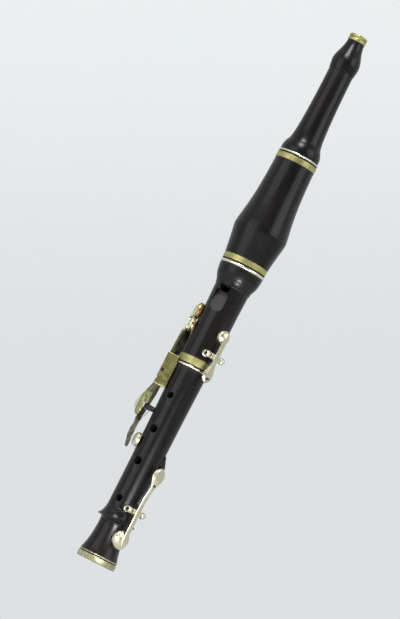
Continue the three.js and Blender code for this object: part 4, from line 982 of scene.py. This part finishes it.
lappingSet = {
    "lowerLapping": {"node": "lower_joint_lapping", "body": "lower_joint", "tenon": 8.1},
    "headLapping": {"node": "head_lapping", "body": "head", "tenon": 9.8},
    "mouthpieceLapping": {"node": "mouthpiece_lapping", "body": "mouthpiece", "tenon": 7.1},
}
windSet = {  # inner, outer and last are rises over the tenon
    "inner": 0.15, "outer": 0.6, "last": 0.2, "pitch": 0.42, "fewest": 4, "dip": 0.1,
}


def makeLapping(name, kit, wind):  # as many whole turns as the length of the tenon's seat takes
    low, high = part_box(kit["node"])
    foot, top = low[2] / mm, high[2] / mm
    inner, outer = kit["tenon"] + wind["inner"], kit["tenon"] + wind["outer"]
    turns = max(wind["fewest"], int((top - foot) / wind["pitch"]))
    pitch = (top - foot) / turns
    winds = []
    for turn in range(turns):
        ease = min(1.0, (turn + 0.5) / 2, (turns - turn - 0.5) / 2)
        rise = inner + (outer - inner) * ease
        for share in (0.0, 0.25, 0.5, 0.75):
            winds.append([rise - wind["dip"] * (1 - math.sin(math.pi * share)), foot + (turn + share) * pitch])
    outline = [[inner, foot], *winds, [kit["tenon"] + wind["last"], top], [inner, top]]
    lapping = turned(name, outline, sides=96, ease=0.0)
    shadeSmooth(lapping, 60)
    handOver(lapping, kit["body"], "waxed_thread", waxedThread, kit["node"])


for lappingName, lappingKit in lappingSet.items():
    makeLapping(lappingName, lappingKit, windSet)
print("lappings wound")


# Key work: forged pieces, filed smooth, with turned cups and hinge tubes

keySet = {  # voxel is the grain of the new skin in mm, rounds how often it is smoothed
    "lowKey": {"node": "low_key", "voxel": 0.13, "rounds": 24},
    "upperKey": {"node": "upper_key", "voxel": 0.12, "rounds": 24},
    "crossKey": {"node": "cross_key", "voxel": 0.12, "rounds": 24},
}
longKeySet = {
    "turn": -66,
    "spade": {
        "voxel": 0.13, "rounds": 22,
        "handled": (119.5, 22.1),  # fingers rub it bright below this height and outside this rise
        "heel": [([16.2, 1.7, 111.0], [19.4, 4.3, 127.0]), ([18.6, 2.0, 111.6], [21.6, 4.0, 114.6])],
        "heelRound": 0.6,
    },
    "leaf": {  # stations of height and of how far the key moves out there, the last set only for rises below middle
        "voxel": 0.13, "rounds": 22, "rivet": 99.8,
        "sink": [(78.0, -0.2), (86.0, -0.9), (91.5, -1.6), (96.5, -1.6), (102.0, -0.8), (107.0, 0.0)],
        "swell": [(96.0, 0.0), (99.5, 0.9), (103.0, 1.4), (107.0, 1.0), (110.5, 0.0)],
        "deepen": [(149.0, 0.0), (150.2, -2.9), (172.0, -2.9), (176.0, 0.0)], "middle": 15.6,
    },
}
cupShape = {
    "wall": 0.7, "over": 0.22, "roof": 0.4,
    "crown": [(1.0, 0.12), (0.88, 0.5), (0.55, 0.88), (0.2, 0.995), (0.0, 1.0)],  # shares of radius and dome
    "gilt": (12.0, 13.85), "soilAndShade": (13.85, 14.3), "band": (-0.9, 0.6),  # rises of the bands, and how near the wall
}
hingeShape = {
    "bore": 0.95, "tube": 2.1, "gap": 2.7, "ball": 2.4, "neck": 1.5, "lift": 0.15,
    "foot": [[0.0, -2.2], [1.2, -2.2], [1.2, -0.43], [2.5, -0.43], [2.5, 0.2], [2.4, 0.36], [1.95, 0.5], [1.55, 0.78]],
    "screwHead": 1.45, "headDeep": 1.1, "drill": 20.0,
}


def newSkin(piece, kit):  # one closed skin over a copied solid, with its edges worn soft
    modify(piece, "REMESH", mode="VOXEL", voxel_size=kit["voxel"] * mm, adaptivity=0.0)
    modify(piece, "SMOOTH", factor=0.5, iterations=kit["rounds"])


def shadeRound(piece):
    faceOutwards(piece)
    makeActive(piece)
    bpy.ops.object.shade_smooth()


def filedCopy(name, node, kit, body, slot, metal, blocks=()):  # the blocks join it before it is filed
    piece = copyOf(name, node)
    for block in blocks:
        block.select_set(True)
        piece.select_set(True)
        bpy.context.view_layer.objects.active = piece
        bpy.ops.object.join()
    newSkin(piece, kit)
    shadeRound(piece)
    handOver(piece, body, slot, metals[metal], node)
    return piece


def turnedCup(cup, shape):  # a smooth cup that stands clear of the coarse one inside it
    radius, dome, edge = cup["radius"] + shape["over"], cup["dome"] + shape["over"], cup["edge"]
    inner, roof = cup["radius"] - shape["wall"], edge + shape["roof"]
    crown = curveThrough([[radius * out, edge + dome * up] for out, up in shape["crown"]], 5)
    outline = [[0.0, roof], [inner, roof], [inner, 0.0], [radius, 0.0], *crown]
    return standAt(turned("turnedCup", outline, sides=96, closed=False), cup["turn"], cup["rim"], cup["height"])


def onHinge(piece, hinge):  # brings a piece made along Z onto the pivot's line
    if not hinge["upright"]:
        piece.rotation_euler = (math.radians(-90), 0, 0)
        settle(piece)
    return standAt(piece, hinge["turn"], hinge["pivot"], hinge["height"], lay=False)


def hingeTube(hinge, shape):
    half, bore, tube = hinge["spread"] - shape["gap"], shape["bore"], shape["tube"]
    return onHinge(turned("hingeTube", [[bore, -half], [tube, -half], [tube, half], [bore, half]], sides=64), hinge)


def ballPost(node, hinge, side, shape):  # foot plate, waisted neck and ball, bored for the pivot screw
    spread, pivot, ball = hinge["spread"], hinge["pivot"], shape["ball"]
    foot = hinge["tube"] + shape["lift"]
    centre = (pivot if hinge["upright"] else math.hypot(pivot, spread)) - foot
    start = math.asin(shape["neck"] / ball)
    arc = [start + (math.pi - start) * step / 16 for step in range(17)]
    outline = shape["foot"] + [[ball * math.sin(angle), centre - ball * math.cos(angle)] for angle in arc]
    outline[-1][0] = 0.0
    turn, height = postPlace(hinge, side)
    post = standAt(turned(node + "_ball", outline, sides=80, closed=False), turn, foot, height)
    far = shape["drill"]
    carve(post, onHinge(rod("pivotDrill", shape["bore"], -far, far, sides=48), hinge))
    if side < 0:
        floor = shape["headDeep"] - (spread + ball)
        carve(post, onHinge(rod("headDrill", shape["screwHead"], -far, floor, sides=48), hinge))
    shadeSmooth(post, 35)
    handOver(post, hinge["body"], "nickel_silver", metals["nickelSilver"], node)


def forgedBlock(name, low, high, turn, rounding):
    block = blockCutter(name, low, high, turn)
    modify(block, "BEVEL", width=rounding * mm, segments=4)
    return block


def alongPath(stations, height):  # the value between two stations of [height, value]
    if height <= stations[0][0]:
        return stations[0][1]
    for (low, first), (high, last) in zip(stations, stations[1:]):
        if height <= high:
            share = (height - low) / (high - low)
            return first + (last - first) * share * share * (3 - 2 * share)
    return stations[-1][1]


def pushRise(piece, way, move):  # moves points in or out along a way, by a rule on rise and height in mm
    for vertex in piece.data.vertices:
        vertex.co += way * move(vertex.co.dot(way) / mm, vertex.co.z / mm) * mm


def markCup(piece, cup, shape):  # a gilt band and a painted shade line round the wall of a cup, below its dome
    way = radialWay(cup["turn"])
    within, beyond = shape["band"]

    def onWall(place, low, high):
        rise = place.dot(way)
        off = (place - way * rise - Vector((0, 0, cup["height"]))).length - cup["radius"]
        return within < off < beyond and low < rise < high

    for band in ("gilt", "soilAndShade"):
        markFaces(piece, band, lambda place, normal: onWall(place, *shape[band]))


for keyName, kit in keySet.items():
    key = kit["node"]
    smooth = [turnedCup(cupSet[key], cupShape), hingeTube(hingeSet[key], hingeShape)]
    filedCopy(keyName, key, kit, key, "nickel_silver", "nickelSilver", smooth)

spade, leaf, longWay = longKeySet["spade"], longKeySet["leaf"], radialWay(longKeySet["turn"])
heel = [forgedBlock("spadeHeel", low, high, longKeySet["turn"], spade["heelRound"]) for low, high in spade["heel"]]
heel.append(turnedCup(cupSet["saddle_key"], cupShape))
spadeKey = filedCopy("spadeKey", "saddle_key", spade, "saddle_key", "nickel_silver", "spadeNickel", heel)
leafCup = turnedCup(cupSet["long_key"], cupShape)
leafKey = filedCopy("leafKey", "long_key", leaf, "long_key", "nickel_silver", "leafNickel", [leafCup])
pushRise(leafKey, longWay, lambda rise, height: alongPath(leaf["sink"], height))
facings = [min(1.0, max(0.0, vertex.normal.dot(longWay) * 2)) for vertex in leafKey.data.vertices]
for vertex, facing in zip(leafKey.data.vertices, facings):  # fuller on its outer side, below the forked post
    vertex.co += longWay * alongPath(leaf["swell"], vertex.co.z / mm) * facing * mm
pushRise(leafKey, longWay, lambda rise, height: alongPath(leaf["deepen"], height) if rise < leaf["middle"] else 0.0)
markCup(spadeKey, cupSet["saddle_key"], cupShape)
markCup(leafKey, cupSet["long_key"], cupShape)
rubbedTop, rubbedRise = spade["handled"]
markFaces(spadeKey, "handled", lambda place, normal: place.z < rubbedTop and place.dot(longWay) > rubbedRise)
print("keys filed")

forkSet = {"voxel": 0.13, "rounds": 5}
saddleSet = {
    "voxel": 0.16, "rounds": 3, "handled": (125.95, 148.35),  # the ends, rubbed bright below and above these
    "chipped": [(127.0, 133.0, 18.35), (136.5, 138.5, 18.6)],  # foot, top and rise of each dark stretch of edge
    "wave": (0.45, 2.9, 1.7),
}


def onWornEdge(place, normal):  # the chipped dark part of the outer edge near the saddle's foot
    depth, fast, slow = saddleSet["wave"]
    wave = depth * math.sin(fast * place.z) * math.sin(slow * place.z + 1.0)
    return any(foot < place.z < top and place.dot(longWay) > rise + wave for foot, top, rise in saddleSet["chipped"])


for hinge in hingeSet.values():
    for node, side in zip(hinge["posts"], (-1, 1)):
        ballPost(node, hinge, side, hingeShape)
filedCopy("longKeyFork", "long_key_post", forkSet, "lower_joint", "nickel_silver", "darkSteel")
brassSaddle = filedCopy("brassSaddle", "saddle", saddleSet, "lower_joint", "aged_brass", "saddleBrass")
markFaces(brassSaddle, "soilAndShade", onWornEdge)
saddleLow, saddleHigh = saddleSet["handled"]
markFaces(brassSaddle, "handled", lambda place, normal: not saddleLow <= place.z <= saddleHigh)
print("posts and saddle filed")


# Small steel: pivot screws, fixing screws, rivets and leaf springs

springSet = {"voxel": 0.1, "rounds": 3}
steelSet = {
    "voxel": 0.06, "rounds": 8,
    "screws": {
        "low_key_screw": "lower_joint", "cross_key_screw": "lower_joint", "saddle_key_screw": "lower_joint",
        "long_key_screw": "lower_joint", "upper_key_screw": "head",
        "saddle_lower_screw": "lower_joint", "saddle_upper_screw": "lower_joint",
    },
}
rivets = {key + "_rivet": key for key in cupSet}
for node, body in {**steelSet["screws"], **rivets}.items():
    made = filedCopy(node + "_turned", node, steelSet, body, "dark_steel", "darkSteel")
    if node == "long_key_rivet":
        pushRise(made, longWay, lambda rise, height: alongPath(leaf["sink"], leaf["rivet"]))

for key in cupSet:
    made = filedCopy(key + "_leaf", key + "_spring", springSet, key, "spring_steel", "springSteel")
    if key == "long_key":
        pushRise(made, longWay, lambda rise, height: alongPath(leaf["sink"], height))
print("screws, rivets and springs made")


# Pads: leather over felt, drawn in under each cup

padSet = {
    "voxel": 0.12, "rounds": 30,
    "wrapped": {"saddle_key": 12.08, "long_key": 12.08}, "lift": 0.06,  # radius of the wood they close on
}


def makePad(key, kit):
    pad = copyOf(key + "Pad", key + "_pad")
    newSkin(pad, kit)
    if key in kit["wrapped"]:  # the closing face takes the round of the wood below it
        wood, way = kit["wrapped"][key], radialWay(cupSet[key]["turn"])
        side = way.cross(Vector(axisZ))
        rises = [vertex.co.dot(way) / mm for vertex in pad.data.vertices]
        low, middle = min(rises), (min(rises) + max(rises)) / 2
        for vertex in pad.data.vertices:
            rise, across = vertex.co.dot(way) / mm, vertex.co.dot(side) / mm
            share = min(1.0, max(0.0, (middle - rise) / (middle - low)))
            vertex.co += way * (math.sqrt(wood ** 2 - across ** 2) + kit["lift"] - low) * share * mm
    shadeRound(pad)
    handOver(pad, key, "red_leather", kidLeather, key + "_pad")


for key in cupSet:
    makePad(key, padSet)


# Sponge in the windcap

spongeSet = {"voxel": 0.6, "rounds": 12}
sponge = copyOf("drySponge", "sponge")
newSkin(sponge, spongeSet)
shadeRound(sponge)
handOver(sponge, "windcap", "sponge", drySponge, "sponge")
print("pads and sponge laid in")
